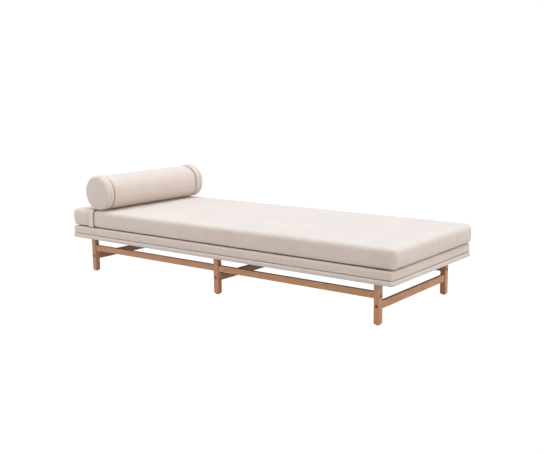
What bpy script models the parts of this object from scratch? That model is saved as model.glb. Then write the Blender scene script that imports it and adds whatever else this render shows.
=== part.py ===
"""Upholstered daybed on a post-and-rail wooden stand.

Units are metres and +Z is up. +X points to the foot end, -X to the head end where the bolster
lies, -Y is the front long side and +Y the back one. The origin is on the floor under the middle
of the bed. The stand carries a thin upholstered deck, the deck carries a loose mattress, and a
strap round the mattress holds the bolster.
"""

import math

import bmesh
import bpy
from mathutils import Matrix, Vector

# Driving dimensions
DECK_LENGTH = 2.000
DECK_WIDTH = 0.750
DECK_BOTTOM = 0.1880
DECK_TOP = 0.2515
MATTRESS_LENGTH = 2.012
MATTRESS_WIDTH = 0.740
MATTRESS_BOTTOM = 0.2545
MATTRESS_TOP = 0.3480
BOLSTER_RADIUS = 0.092
BOLSTER_LENGTH = 0.740
BOLSTER_X = -0.800
LEG_SIDE = 0.0285
LEG_X = 0.895
LEG_Y = 0.3085
GLIDE_HEIGHT = 0.0040
LONG_RAIL_Z = (0.1131, 0.1434)
LONG_RAIL_THICKNESS = 0.0175
CROSS_RAIL_Z = (0.0657, 0.0997)
CROSS_RAIL_THICKNESS = 0.0170

# Fits
GAP = 0.0003
CLOTH = 0.0015
HOLE_PLAY = 0.0003
BOTH_SIDES = (("front", -1), ("back", 1))
STATIONS = (("head", -1), ("middle", 0), ("foot", 1))
SHORT_ENDS = (("head", -1), ("foot", 1))

# Facets of round pieces and arcs
TURNED_SIDES = 24
SEAT_SIDES = 16
HOLE_SIDES = 12
PIN_SIDES = 10
SOCKET_SIDES = 6
SMOOTH_ANGLE = 45
OUTLINE_STEPS = 4
SMALLEST_CORNER = 0.0008

# Stand
LEG_EDGE = 0.003
LEG_FOOT_CHAMFER = 0.002
RAIL_EDGE = 0.002
TENON_LENGTH = 0.006
TENON_SHOULDER = 0.003
BOLT_RADIUS = 0.003
BOLT_HEAD_RADIUS = 0.0065
BOLT_HEAD_HEIGHT = 0.0055
BOLT_REACH = 0.050
SOCKET_RADIUS = 0.0032
SOCKET_DEPTH = 0.0030
COUNTERBORE_RADIUS = 0.008
COUNTERBORE_DEPTH = 0.008
CROSS_BOLT_Z = 0.0825
LONG_BOLT_Z = 0.1265
STUD_RADIUS = 0.004
STUD_DEPTH = 0.038
GLIDE_RADIUS = 0.0105
GLIDE_CHAMFER = 0.0010
GLIDE_PIN_RADIUS = 0.0015
GLIDE_PIN_LENGTH = 0.012

# Deck
DECK_CORNER = 0.014
BAND_TOP = 0.2095
BAND_EDGE = 0.006
BAND_FLANGE = 0.029
BAND_FLANGE_THICKNESS = 0.0017
BOARD_INSET = 0.004
PAD_BOTTOM = 0.2118
PAD_INSET = 0.0035
PAD_LOWER_EDGE = 0.004
PAD_UPPER_EDGE = 0.010
PAD_FLANGE = 0.026
DUST_COVER_THICKNESS = 0.0008
DECK_RAIL_WIDTH = 0.045
DECK_RAIL_TOP = 0.2390
CROSSBAR_X = 0.330
CROSSBAR_WIDTH = 0.040
WEBBING_THICKNESS = 0.0015
WEBBING_WIDTH = 0.050
WEBBING_CROSS_STRAPS = 9
WEBBING_LONG_STRAPS = 3
FOAM_EDGE = 0.005

# Mattress
MATTRESS_CORNER = 0.024
MATTRESS_LOWER_EDGE = 0.010
MATTRESS_UPPER_EDGE = 0.020
MATTRESS_ZIP_Z = 0.3000

# Bolster
GROOVE_Y = 0.3160
GROOVE_HALF_WIDTH = 0.0045
GROOVE_DEPTH = 0.009
BOLSTER_EDGE = 0.025
DOME_HEIGHT = 0.003
BOLSTER_ZIP_DROP = math.radians(28)

# Zips
ZIP_LENGTH = 0.600
ZIP_SLOT = 0.014
ZIP_DEPTH = 0.0075
TAPE_THICKNESS = 0.0010
TEETH_WIDTH = 0.0050
TEETH_THICKNESS = 0.0022
SLIDER_LENGTH = 0.012
SLIDER_WIDTH = 0.0085
SLIDER_THICKNESS = 0.0026
PULL_LENGTH = 0.024
PULL_WIDTH = 0.0060
PULL_THICKNESS = 0.0010

# Strap
STRAP_X = -0.848
STRAP_WIDTH = 0.040
STRAP_CLEARANCE = 0.0006
STRAP_INNER_END = 0.322
STRAP_OUTER_END = 0.276
HOOK_TAPE_THICKNESS = 0.0008
HOOK_TAPE_Z = (0.281, 0.317)
FLAP_THICKNESS = 0.0025
FLAP_HALF_LENGTH = 0.250

FINISHES = {
    "oak": ((0.50, 0.29, 0.15), 0.55, 0.0),
    "pine": ((0.66, 0.47, 0.27), 0.65, 0.0),
    "plywood": ((0.60, 0.42, 0.25), 0.65, 0.0),
    "cream_fabric": ((0.74, 0.68, 0.58), 0.95, 0.0),
    "dust_cloth": ((0.03, 0.03, 0.03), 0.95, 0.0),
    "webbing": ((0.10, 0.08, 0.06), 0.90, 0.0),
    "foam": ((0.80, 0.76, 0.62), 0.95, 0.0),
    "dark_steel": ((0.07, 0.06, 0.06), 0.45, 0.9),
    "zinc_steel": ((0.55, 0.55, 0.55), 0.35, 1.0),
    "dark_plastic": ((0.05, 0.04, 0.04), 0.50, 0.0),
    "cream_plastic": ((0.70, 0.65, 0.55), 0.50, 0.0),
}


def clear_scene():
    """Removes the startup scene's objects."""
    for obj in list(bpy.data.objects):
        bpy.data.objects.remove(obj, do_unlink=True)


def make_material(name, finish):
    colour, roughness, metallic = FINISHES[finish]
    material = bpy.data.materials.new(name)
    material.use_nodes = True
    shader = material.node_tree.nodes["Principled BSDF"]
    shader.inputs["Base Color"].default_value = (*colour, 1.0)
    shader.inputs["Roughness"].default_value = roughness
    shader.inputs["Metallic"].default_value = metallic
    material.diffuse_color = (*colour, 1.0)
    return material


def add_object(name, bm, finish, parent=None, smooth=False):
    """Makes the bmesh an object with its own material, its faces pointing out."""
    bmesh.ops.recalc_face_normals(bm, faces=bm.faces)
    mesh = bpy.data.meshes.new(name)
    bm.to_mesh(mesh)
    bm.free()
    obj = bpy.data.objects.new(name, mesh)
    bpy.context.scene.collection.objects.link(obj)
    if finish:
        mesh.materials.append(make_material(f"{name}_{finish}", finish))
    if smooth:
        mesh.shade_smooth()
        mesh.set_sharp_from_angle(angle=math.radians(SMOOTH_ANGLE))
    obj.parent = parent
    return obj


def add_axis(name, location, parent=None):
    """An empty on a joint's axis, which carries the pieces that move on it."""
    axis = bpy.data.objects.new(name, None)
    bpy.context.scene.collection.objects.link(axis)
    axis.parent = parent
    axis.location = location
    axis.empty_display_size = 0.05
    return axis


def box_bmesh(low, high):
    """A box between two corners."""
    bm = bmesh.new()
    bmesh.ops.create_cube(bm, size=1.0)
    size = Vector(high) - Vector(low)
    bmesh.ops.scale(bm, vec=size, verts=bm.verts)
    bmesh.ops.translate(bm, vec=(Vector(high) + Vector(low)) / 2, verts=bm.verts)
    return bm


def bevel_edges(bm, wanted, width, segments):
    """Bevels the edges for which wanted(edge) is true."""
    edges = [edge for edge in bm.edges if wanted(edge)]
    bmesh.ops.bevel(bm, geom=edges, offset=width, segments=segments, profile=0.5, affect="EDGES")


def runs_along(axis):
    """A test for edges that run along this axis, 0 to 2."""

    def test(edge):
        direction = (edge.verts[1].co - edge.verts[0].co).normalized()
        return abs(direction[axis]) > 0.99

    return test


def stands_at(edge, y):
    """True for an upright edge this far out from the middle, front or back."""
    return runs_along(2)(edge) and all(abs(v.co.y) > y - GAP for v in edge.verts)


def cylinder_bmesh(start, end, radii, sides):
    """A turned solid: radii holds (distance from the start, radius) pairs, in order."""
    axis = (Vector(end) - Vector(start)).normalized()
    turn = axis.to_track_quat("Z", "Y").to_matrix().to_4x4()
    place = Matrix.Translation(start) @ turn
    bm = bmesh.new()
    rings = []
    for along, radius in radii:
        ring = []
        for i in range(sides):
            angle = 2 * math.pi * (i + 0.5) / sides
            point = Vector((radius * math.cos(angle), radius * math.sin(angle), along))
            ring.append(bm.verts.new(place @ point))
        rings.append(ring)
    join_rings(bm, rings)
    close_ring(bm, rings[0])
    close_ring(bm, rings[-1])
    return bm


def join_rings(bm, rings):
    """Faces between each ring of vertices and the next."""
    for lower, upper in zip(rings, rings[1:]):
        count = len(lower)
        for i in range(count):
            j = (i + 1) % count
            bm.faces.new((lower[i], lower[j], upper[j], upper[i]))


def close_ring(bm, ring):
    bm.faces.new(ring)


def straight_cylinder(start, end, radius, sides=HOLE_SIDES):
    length = (Vector(end) - Vector(start)).length
    return cylinder_bmesh(start, end, [(0.0, radius), (length, radius)], sides)


def cut(target, bm, name):
    """Takes the bmesh's shape out of the target with an exact Boolean."""
    combine(target, bm, name, "DIFFERENCE")


def combine(target, bm, name, operation):
    tool = add_object(f"{target.name}_{name}", bm, None, target.parent)
    tool.hide_render = True
    tool.display_type = "WIRE"
    boolean = target.modifiers.new(name, "BOOLEAN")
    boolean.operation = operation
    boolean.solver = "EXACT"
    boolean.object = tool


def rounded_outline(half_x, half_y, corner, steps):
    """The corners of a rectangle with round corners, counter-clockwise."""
    points = []
    for quarter, (sx, sy) in enumerate(((1, 1), (-1, 1), (-1, -1), (1, -1))):
        for i in range(steps + 1):
            angle = math.pi / 2 * (quarter + i / steps)
            x = sx * (half_x - corner) + corner * math.cos(angle)
            y = sy * (half_y - corner) + corner * math.sin(angle)
            points.append((x, y))
    return points


def close_shape(bm, rings, is_loop):
    """Joins the rings in order; a loop joins last to first, and any other shape is capped."""
    if is_loop:
        join_rings(bm, rings + rings[:1])
    else:
        join_rings(bm, rings)
        close_ring(bm, rings[0])
        close_ring(bm, rings[-1])


def slab_bmesh(half_x, half_y, corner, levels, is_loop=False):
    """A rounded rectangle that follows levels of (inset, z)."""
    bm = bmesh.new()
    rings = []
    for inset, z in levels:
        radius = max(corner - inset, SMALLEST_CORNER)
        outline = rounded_outline(half_x - inset, half_y - inset, radius, OUTLINE_STEPS)
        rings.append([bm.verts.new((x, y, z)) for x, y in outline])
    close_shape(bm, rings, is_loop)
    return bm


def arc_levels(inset, z, radius, start, end, steps):
    """Levels along an arc of an edge; 0 degrees points out and 90 degrees points up."""
    levels = []
    for i in range(steps + 1):
        angle = math.radians(start + (end - start) * i / steps)
        levels.append((inset - radius * math.cos(angle), z + radius * math.sin(angle)))
    return levels


def turned_bmesh(profile, is_loop=False):
    """A shape turned round the Y axis from (y, radius) points."""
    bm = bmesh.new()
    rings = []
    for y, radius in profile:
        ring = []
        for i in range(TURNED_SIDES):
            angle = 2 * math.pi * (i + 0.5) / TURNED_SIDES
            ring.append(bm.verts.new((radius * math.cos(angle), y, radius * math.sin(angle))))
        rings.append(ring)
    close_shape(bm, rings, is_loop)
    return bm


def extruded_bmesh(outline, low, high, place):
    """A closed outline in a plane, pushed from low to high; place maps (u, v, w) to a point."""
    bm = bmesh.new()
    near = [bm.verts.new(place(u, v, low)) for u, v in outline]
    far = [bm.verts.new(place(u, v, high)) for u, v in outline]
    join_rings(bm, [near, far])
    close_ring(bm, near)
    close_ring(bm, far)
    return bm


# Stand


def make_leg(side_name, side, station_name, station):
    """A square post with the mortises and holes that its station needs."""
    x, y = station * LEG_X, side * LEG_Y
    half = LEG_SIDE / 2
    top = DECK_BOTTOM - GAP
    bm = box_bmesh((x - half, y - half, GLIDE_HEIGHT), (x + half, y + half, top))
    bevel_edges(bm, runs_along(2), LEG_EDGE, 2)
    at_foot = GLIDE_HEIGHT + GAP
    bevel_edges(bm, lambda edge: max(v.co.z for v in edge.verts) < at_foot, LEG_FOOT_CHAMFER, 1)
    leg = add_object(f"leg_{side_name}_{station_name}", bm, "oak", smooth=True)

    outer = Vector((x, y + side * half, CROSS_BOLT_Z))
    inner = Vector((x, y - side * half, CROSS_BOLT_Z))
    cut_bolt_hole(leg, outer, inner, "cross_bolt")
    cut_mortise(leg, inner, (0, side, 0), CROSS_RAIL_THICKNESS, CROSS_RAIL_Z, "cross_mortise")
    for end in (-1, 1):
        if end == station:
            outer = Vector((x + end * half, y, LONG_BOLT_Z))
            inner = Vector((x - end * half, y, LONG_BOLT_Z))
            cut_bolt_hole(leg, outer, inner, "long_bolt")
        else:
            inner = Vector((x + end * half, y, LONG_BOLT_Z))
            name = "foot_side_mortise" if end > 0 else "head_side_mortise"
            cut_mortise(leg, inner, (-end, 0, 0), LONG_RAIL_THICKNESS, LONG_RAIL_Z, name)
    stud_bottom, stud_top = (x, y, top - STUD_DEPTH), (x, y, top + GAP)
    cut(leg, straight_cylinder(stud_bottom, stud_top, STUD_RADIUS + HOLE_PLAY), "stud_hole")
    pin_bottom = (x, y, GLIDE_HEIGHT - GAP)
    pin_top = (x, y, GLIDE_HEIGHT + GLIDE_PIN_LENGTH + GAP)
    pin_radius = GLIDE_PIN_RADIUS + HOLE_PLAY
    cut(leg, straight_cylinder(pin_bottom, pin_top, pin_radius, PIN_SIDES), "pin_hole")


def cut_bolt_hole(leg, outer, inner, name):
    """A counterbored hole from the leg's outer face to its inner one."""
    inward = (inner - outer).normalized()
    mouth = outer - inward * GAP
    seat = outer + inward * COUNTERBORE_DEPTH
    cut(leg, straight_cylinder(mouth, inner + inward * GAP, BOLT_RADIUS + HOLE_PLAY), name)
    cut(leg, straight_cylinder(mouth, seat, COUNTERBORE_RADIUS, SEAT_SIDES), f"{name}_seat")


def cut_mortise(leg, face, inward, rail_thickness, rail_z, name):
    """A shallow pocket for a rail's tenon; inward is the way into the leg."""
    inward = Vector(inward)
    across = Vector((abs(inward.y), abs(inward.x), 0))
    half = rail_thickness / 2 - TENON_SHOULDER + HOLE_PLAY
    corner_a = face - inward * GAP - across * half
    corner_b = face + inward * (TENON_LENGTH + HOLE_PLAY) + across * half
    low = [min(corner_a[i], corner_b[i]) for i in range(2)]
    high = [max(corner_a[i], corner_b[i]) for i in range(2)]
    z_low = rail_z[0] + TENON_SHOULDER - HOLE_PLAY
    z_high = rail_z[1] - TENON_SHOULDER + HOLE_PLAY
    cut(leg, box_bmesh((*low, z_low), (*high, z_high)), name)


def rail_bmesh(start, end, thickness, z_range):
    """A rail from one shoulder to the other, with a tenon stepped in all round at each end."""
    axis = (Vector(end) - Vector(start)).normalized()
    across = Vector((abs(axis.y), abs(axis.x), 0))
    middle_z = sum(z_range) / 2
    half_t, half_h = thickness / 2, (z_range[1] - z_range[0]) / 2
    bm = bmesh.new()
    rings = []
    length = (Vector(end) - Vector(start)).length
    stations = ((-TENON_LENGTH, TENON_SHOULDER), (0.0, TENON_SHOULDER), (0.0, 0.0))
    stations += tuple((length - along, step) for along, step in reversed(stations))
    for along, step in stations:
        corners = rounded_outline(half_t - step, half_h - step, RAIL_EDGE, 2)
        ring = []
        for u, v in corners:
            point = Vector(start) + axis * along + across * u
            ring.append(bm.verts.new((point.x, point.y, middle_z + v)))
        rings.append(ring)
    join_rings(bm, rings)
    close_ring(bm, rings[0])
    close_ring(bm, rings[-1])
    return bm


def make_long_rail(side_name, side, end_name, end):
    """One half of a long side's rail, from the middle leg to an end leg."""
    y = side * LEG_Y
    inner = end * (LEG_SIDE / 2 + GAP)
    outer = end * (LEG_X - LEG_SIDE / 2 - GAP)
    bm = rail_bmesh((inner, y, 0), (outer, y, 0), LONG_RAIL_THICKNESS, LONG_RAIL_Z)
    rail = add_object(f"long_rail_{side_name}_{end_name}", bm, "oak", smooth=True)
    mouth = Vector((outer + end * (TENON_LENGTH + GAP), y, LONG_BOLT_Z))
    bottom = Vector((end * (LEG_X - BOLT_REACH), y, LONG_BOLT_Z))
    cut(rail, straight_cylinder(mouth, bottom, BOLT_RADIUS + HOLE_PLAY), "bolt_hole")


def make_cross_rail(station_name, station):
    """The rail between the two legs of one station."""
    x = station * LEG_X
    face = LEG_Y - LEG_SIDE / 2 - GAP
    bm = rail_bmesh((x, -face, 0), (x, face, 0), CROSS_RAIL_THICKNESS, CROSS_RAIL_Z)
    rail = add_object(f"cross_rail_{station_name}", bm, "oak", smooth=True)
    for side_name, side in BOTH_SIDES:
        mouth = Vector((x, side * (face + TENON_LENGTH + GAP), CROSS_BOLT_Z))
        bottom = Vector((x, side * (LEG_Y - BOLT_REACH), CROSS_BOLT_Z))
        hole = straight_cylinder(mouth, bottom, BOLT_RADIUS + HOLE_PLAY)
        cut(rail, hole, f"bolt_hole_{side_name}")


def make_bolt(name, face, inward):
    """A socket-head screw whose head sits in a counterbore of this leg face."""
    inward = Vector(inward)
    seat = Vector(face) + inward * (COUNTERBORE_DEPTH - GAP)
    head_outer = seat - inward * BOLT_HEAD_HEIGHT
    tip = Vector(face) + inward * (LEG_SIDE / 2 + BOLT_REACH - 2 * GAP)
    length = (tip - head_outer).length
    chamfer = BOLT_RADIUS / 3
    radii = [
        (0.0, BOLT_HEAD_RADIUS - chamfer / 2),
        (chamfer / 2, BOLT_HEAD_RADIUS),
        (BOLT_HEAD_HEIGHT, BOLT_HEAD_RADIUS),
        (BOLT_HEAD_HEIGHT, BOLT_RADIUS),
        (length - chamfer, BOLT_RADIUS),
        (length, BOLT_RADIUS - chamfer),
    ]
    bm = cylinder_bmesh(head_outer, tip, radii, HOLE_SIDES)
    bolt = add_object(name, bm, "dark_steel", smooth=True)
    mouth, bottom = head_outer - inward * GAP, head_outer + inward * SOCKET_DEPTH
    cut(bolt, straight_cylinder(mouth, bottom, SOCKET_RADIUS, SOCKET_SIDES), "socket")


def make_stud(side_name, side, station_name, station):
    """A double-ended stud that ties a leg's top to the deck board."""
    x, y = station * LEG_X, side * LEG_Y
    bottom = DECK_BOTTOM - STUD_DEPTH + GAP
    top = BAND_TOP - BAND_FLANGE_THICKNESS
    length = top - bottom
    chamfer = STUD_RADIUS / 3
    radii = [
        (0.0, STUD_RADIUS - chamfer),
        (chamfer, STUD_RADIUS),
        (length - chamfer, STUD_RADIUS),
        (length, STUD_RADIUS - chamfer),
    ]
    bm = cylinder_bmesh((x, y, bottom), (x, y, top), radii, HOLE_SIDES)
    add_object(f"deck_stud_{side_name}_{station_name}", bm, "zinc_steel", smooth=True)


def make_glide(side_name, side, station_name, station):
    """A nail-on glide: a low disc under the leg and a pin in the leg's end grain."""
    x, y = station * LEG_X, side * LEG_Y
    top = GLIDE_HEIGHT - GAP
    radii = [
        (0.0, GLIDE_RADIUS - GLIDE_CHAMFER),
        (GLIDE_CHAMFER, GLIDE_RADIUS),
        (top, GLIDE_RADIUS),
        (top, GLIDE_PIN_RADIUS),
        (top + GLIDE_PIN_LENGTH, GLIDE_PIN_RADIUS),
    ]
    bm = cylinder_bmesh((x, y, 0), (x, y, 1), radii, HOLE_SIDES)
    add_object(f"glide_{side_name}_{station_name}", bm, "dark_plastic", smooth=True)


def make_stand():
    for side_name, side in BOTH_SIDES:
        for station_name, station in STATIONS:
            make_leg(side_name, side, station_name, station)
            make_stud(side_name, side, station_name, station)
            make_glide(side_name, side, station_name, station)
            face = (station * LEG_X, side * (LEG_Y + LEG_SIDE / 2), CROSS_BOLT_Z)
            make_bolt(f"cross_bolt_{side_name}_{station_name}", face, (0, -side, 0))
        for end_name, end in SHORT_ENDS:
            make_long_rail(side_name, side, end_name, end)
            face = (end * (LEG_X + LEG_SIDE / 2), side * LEG_Y, LONG_BOLT_Z)
            make_bolt(f"long_bolt_{side_name}_{end_name}", face, (-end, 0, 0))
    for station_name, station in STATIONS:
        make_cross_rail(station_name, station)


# Deck


def deck_bmesh(levels, is_loop=False):
    return slab_bmesh(DECK_LENGTH / 2, DECK_WIDTH / 2, DECK_CORNER, levels, is_loop)


def make_board():
    """The plywood board that the legs are fastened to."""
    bottom = DECK_BOTTOM + BAND_FLANGE_THICKNESS + GAP
    top = BAND_TOP - BAND_FLANGE_THICKNESS - GAP
    bm = deck_bmesh([(BOARD_INSET, bottom), (BOARD_INSET, top)])
    cut_stud_holes(add_object("deck_board", bm, "plywood"), bottom, top)


def cut_stud_holes(sheet, bottom, top):
    """A hole through a flat piece over each leg, for its stud."""
    for side_name, side in BOTH_SIDES:
        for station_name, station in STATIONS:
            x, y = station * LEG_X, side * LEG_Y
            low, high = (x, y, bottom - GAP), (x, y, top + GAP)
            hole = straight_cylinder(low, high, STUD_RADIUS + HOLE_PLAY)
            cut(sheet, hole, f"stud_hole_{side_name}_{station_name}")


def make_band_cover():
    """The padded cloth edge wrapped round the board's rim."""
    inner = BOARD_INSET - GAP
    low_flange = DECK_BOTTOM + BAND_FLANGE_THICKNESS
    high_flange = BAND_TOP - BAND_FLANGE_THICKNESS
    levels = [(BAND_FLANGE, DECK_BOTTOM)]
    levels += arc_levels(BAND_EDGE, DECK_BOTTOM + BAND_EDGE, BAND_EDGE, -90, 0, 3)
    levels += arc_levels(BAND_EDGE, BAND_TOP - BAND_EDGE, BAND_EDGE, 0, 90, 3)
    levels += [(BAND_FLANGE, BAND_TOP), (BAND_FLANGE, high_flange), (inner, high_flange)]
    levels += [(inner, low_flange), (BAND_FLANGE, low_flange)]
    add_object("deck_band_cover", deck_bmesh(levels, is_loop=True), "cream_fabric", smooth=True)


def make_dust_cover():
    """The thin cloth stapled under the board, inside the band's lower turn-in."""
    inset = BAND_FLANGE + 2 * GAP
    bottom = DECK_BOTTOM + GAP
    top = bottom + DUST_COVER_THICKNESS
    bm = deck_bmesh([(inset, bottom), (inset, top)])
    cut_stud_holes(add_object("deck_dust_cover", bm, "dust_cloth"), bottom, top)


def make_deck_frame():
    """The wooden frame inside the padded part of the deck."""
    inset = PAD_INSET + CLOTH + 2 * GAP
    half_x, half_y = DECK_LENGTH / 2 - inset, DECK_WIDTH / 2 - inset
    bottom = PAD_BOTTOM + PAD_LOWER_EDGE
    corner = DECK_CORNER - inset
    inner_y = half_y - DECK_RAIL_WIDTH
    for side_name, side in BOTH_SIDES:
        ys = sorted((side * inner_y, side * half_y))
        bm = box_bmesh((-half_x, ys[0], bottom), (half_x, ys[1], DECK_RAIL_TOP))
        bevel_edges(bm, lambda edge: stands_at(edge, half_y), corner, 2)
        add_object(f"deck_rail_{side_name}", bm, "pine")
    across = inner_y - GAP
    for end_name, end in SHORT_ENDS:
        xs = sorted((end * (half_x - DECK_RAIL_WIDTH), end * half_x))
        bm = box_bmesh((xs[0], -across, bottom), (xs[1], across, DECK_RAIL_TOP))
        add_object(f"deck_rail_{end_name}", bm, "pine")
        half = CROSSBAR_WIDTH / 2
        low = (end * CROSSBAR_X - half, -across, BAND_TOP - BAND_FLANGE_THICKNESS)
        high = (end * CROSSBAR_X + half, across, DECK_RAIL_TOP)
        add_object(f"deck_crossbar_{end_name}", box_bmesh(low, high), "pine")


def strap_edges(count, half_span, width):
    """The edges of evenly spaced straps, in order, with the outer ones at the span's ends."""
    edges = []
    for i in range(count):
        centre = -half_span + width / 2 + i * (2 * half_span - width) / (count - 1)
        edges += [centre - width / 2, centre + width / 2]
    return edges


def make_webbing():
    """Elastic straps, laced across and along the frame: a lattice with open squares."""
    rim = PAD_INSET + CLOTH + 0.010
    xs = strap_edges(WEBBING_CROSS_STRAPS, DECK_LENGTH / 2 - rim, WEBBING_WIDTH)
    ys = strap_edges(WEBBING_LONG_STRAPS + 2, DECK_WIDTH / 2 - rim, WEBBING_WIDTH)
    bottom = DECK_RAIL_TOP + GAP
    bm = bmesh.new()
    verts = [[bm.verts.new((x, y, bottom)) for y in ys] for x in xs]
    for i in range(len(xs) - 1):
        for j in range(len(ys) - 1):
            is_open = i % 2 == 1 and j % 2 == 1
            if not is_open:
                corners = (verts[i][j], verts[i + 1][j], verts[i + 1][j + 1], verts[i][j + 1])
                bm.faces.new(corners)
    extruded = bmesh.ops.extrude_face_region(bm, geom=bm.faces[:])
    top = [item for item in extruded["geom"] if isinstance(item, bmesh.types.BMVert)]
    bmesh.ops.translate(bm, vec=(0, 0, WEBBING_THICKNESS), verts=top)
    add_object("deck_webbing", bm, "webbing")


def make_deck_foam():
    """The thin foam sheet over the webbing."""
    inset = PAD_INSET + CLOTH + 0.0045
    bottom = DECK_RAIL_TOP + WEBBING_THICKNESS + 2 * GAP
    top = DECK_TOP - CLOTH - GAP
    levels = [(inset, bottom)]
    levels += arc_levels(inset + FOAM_EDGE, top - FOAM_EDGE, FOAM_EDGE, 0, 90, 3)
    add_object("deck_foam", deck_bmesh(levels), "foam", smooth=True)


def make_deck_cover():
    """The cloth over the padded part, turned in under the frame and open below."""
    edge_z = DECK_TOP - PAD_UPPER_EDGE
    low_z = PAD_BOTTOM + PAD_LOWER_EDGE
    upper_in, lower_in = PAD_UPPER_EDGE - CLOTH, PAD_LOWER_EDGE - CLOTH
    upper_centre, lower_centre = PAD_INSET + PAD_UPPER_EDGE, PAD_INSET + PAD_LOWER_EDGE
    levels = arc_levels(upper_centre, edge_z, upper_in, 90, 0, 4)
    levels += arc_levels(lower_centre, low_z, lower_in, 0, -90, 2)
    levels += [(PAD_FLANGE, PAD_BOTTOM + CLOTH), (PAD_FLANGE, PAD_BOTTOM)]
    levels += arc_levels(lower_centre, low_z, PAD_LOWER_EDGE, -90, 0, 2)
    levels += arc_levels(upper_centre, edge_z, PAD_UPPER_EDGE, 0, 90, 4)
    add_object("deck_cover", deck_bmesh(levels), "cream_fabric", smooth=True)


def make_deck():
    make_board()
    make_band_cover()
    make_dust_cover()
    make_deck_frame()
    make_webbing()
    make_deck_foam()
    make_deck_cover()


# Zips


def zip_bmesh(place):
    """A zip's two tapes and closed teeth, as one strip along w."""
    slot = ZIP_SLOT / 2 - GAP
    teeth = TEETH_WIDTH / 2
    outline = [(-slot, 0.0), (slot, 0.0), (slot, TAPE_THICKNESS), (teeth, TAPE_THICKNESS)]
    outline += [(teeth, TEETH_THICKNESS), (-teeth, TEETH_THICKNESS)]
    outline += [(-teeth, TAPE_THICKNESS), (-slot, TAPE_THICKNESS)]
    half = ZIP_LENGTH / 2 - GAP
    return extruded_bmesh(outline, -half, half, place)


def make_slider(name, place, parent):
    """A zip slider with its pull laid flat along the zip."""
    base = TEETH_THICKNESS + GAP
    half_w, half_l = SLIDER_WIDTH / 2, SLIDER_LENGTH / 2
    waist = half_w * 0.7
    outline = [(-half_w, -half_l), (half_w, -half_l), (half_w, 0.0), (waist, half_l)]
    outline += [(-waist, half_l), (-half_w, 0.0)]
    top = base + SLIDER_THICKNESS
    bm = extruded_bmesh(outline, base, top, lambda u, w, v: place(u, v, w))
    slider = add_object(name, bm, "zinc_steel", parent)
    pull = PULL_WIDTH / 2
    tip = half_l + PULL_LENGTH
    outline = [(-pull, 0.0), (pull, 0.0), (pull, tip - pull), (pull / 2, tip), (-pull / 2, tip)]
    outline += [(-pull, tip - pull)]
    low = top - PULL_THICKNESS * 1.5
    bm = extruded_bmesh(outline, low, low + PULL_THICKNESS, lambda u, w, v: place(u, v, w))
    combine(slider, bm, "pull", "UNION")


# Mattress


def mattress_levels(skin):
    """Levels of the mattress's outside, moved in by skin."""
    low, high = MATTRESS_LOWER_EDGE - skin, MATTRESS_UPPER_EDGE - skin
    levels = arc_levels(MATTRESS_LOWER_EDGE, MATTRESS_BOTTOM + MATTRESS_LOWER_EDGE, low, -90, 0, 4)
    levels += arc_levels(MATTRESS_UPPER_EDGE, MATTRESS_TOP - MATTRESS_UPPER_EDGE, high, 0, 90, 5)
    return levels


def mattress_bmesh(skin):
    half_x, half_y = MATTRESS_LENGTH / 2, MATTRESS_WIDTH / 2
    return slab_bmesh(half_x, half_y, MATTRESS_CORNER, mattress_levels(skin))


def make_mattress(parent):
    """The foam core, its cloth cover and the cover's zip along the head end."""
    end = -MATTRESS_LENGTH / 2
    half_length, half_slot = ZIP_LENGTH / 2, ZIP_SLOT / 2
    low_z, high_z = MATTRESS_ZIP_Z - half_slot, MATTRESS_ZIP_Z + half_slot
    core = add_object("mattress_core", mattress_bmesh(CLOTH + GAP), "foam", parent, True)
    pocket = (end + ZIP_DEPTH + 2 * GAP, half_length, high_z)
    cut(core, box_bmesh((end - GAP, -half_length, low_z), pocket), "zip_pocket")
    cover = add_object("mattress_cover", mattress_bmesh(0.0), "cream_fabric", parent, True)
    cut(cover, mattress_bmesh(CLOTH), "inside")
    mouth = (end + ZIP_DEPTH, half_length, high_z)
    cut(cover, box_bmesh((end - GAP, -half_length, low_z), mouth), "zip_mouth")

    def place(u, v, w):
        return (end + ZIP_DEPTH - v, w, MATTRESS_ZIP_Z + u)

    add_object("mattress_zip", zip_bmesh(place), "cream_fabric", parent)
    slide = add_axis("mattress_zip_axis", (0, -half_length + SLIDER_LENGTH, 0), parent)
    make_slider("mattress_zip_slider", place, slide)


# Bolster


def bolster_zip_place(u, v, w):
    """A point of the bolster's zip, which runs low along the side that faces the head end."""
    out = Vector((-math.cos(BOLSTER_ZIP_DROP), 0, -math.sin(BOLSTER_ZIP_DROP)))
    along = Vector((math.sin(BOLSTER_ZIP_DROP), 0, -math.cos(BOLSTER_ZIP_DROP)))
    chord = BOLSTER_RADIUS * math.cos(math.pi / TURNED_SIDES)
    return out * (chord - ZIP_DEPTH + v) + along * u + Vector((0, w, 0))


def zip_slot_bmesh(depth, half_length):
    """A box cutter that follows the bolster's zip."""
    half = ZIP_SLOT / 2
    above = ZIP_DEPTH * 2
    outline = [(-half, ZIP_DEPTH - depth), (half, ZIP_DEPTH - depth), (half, above), (-half, above)]
    return extruded_bmesh(outline, -half_length, half_length, bolster_zip_place)


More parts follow.
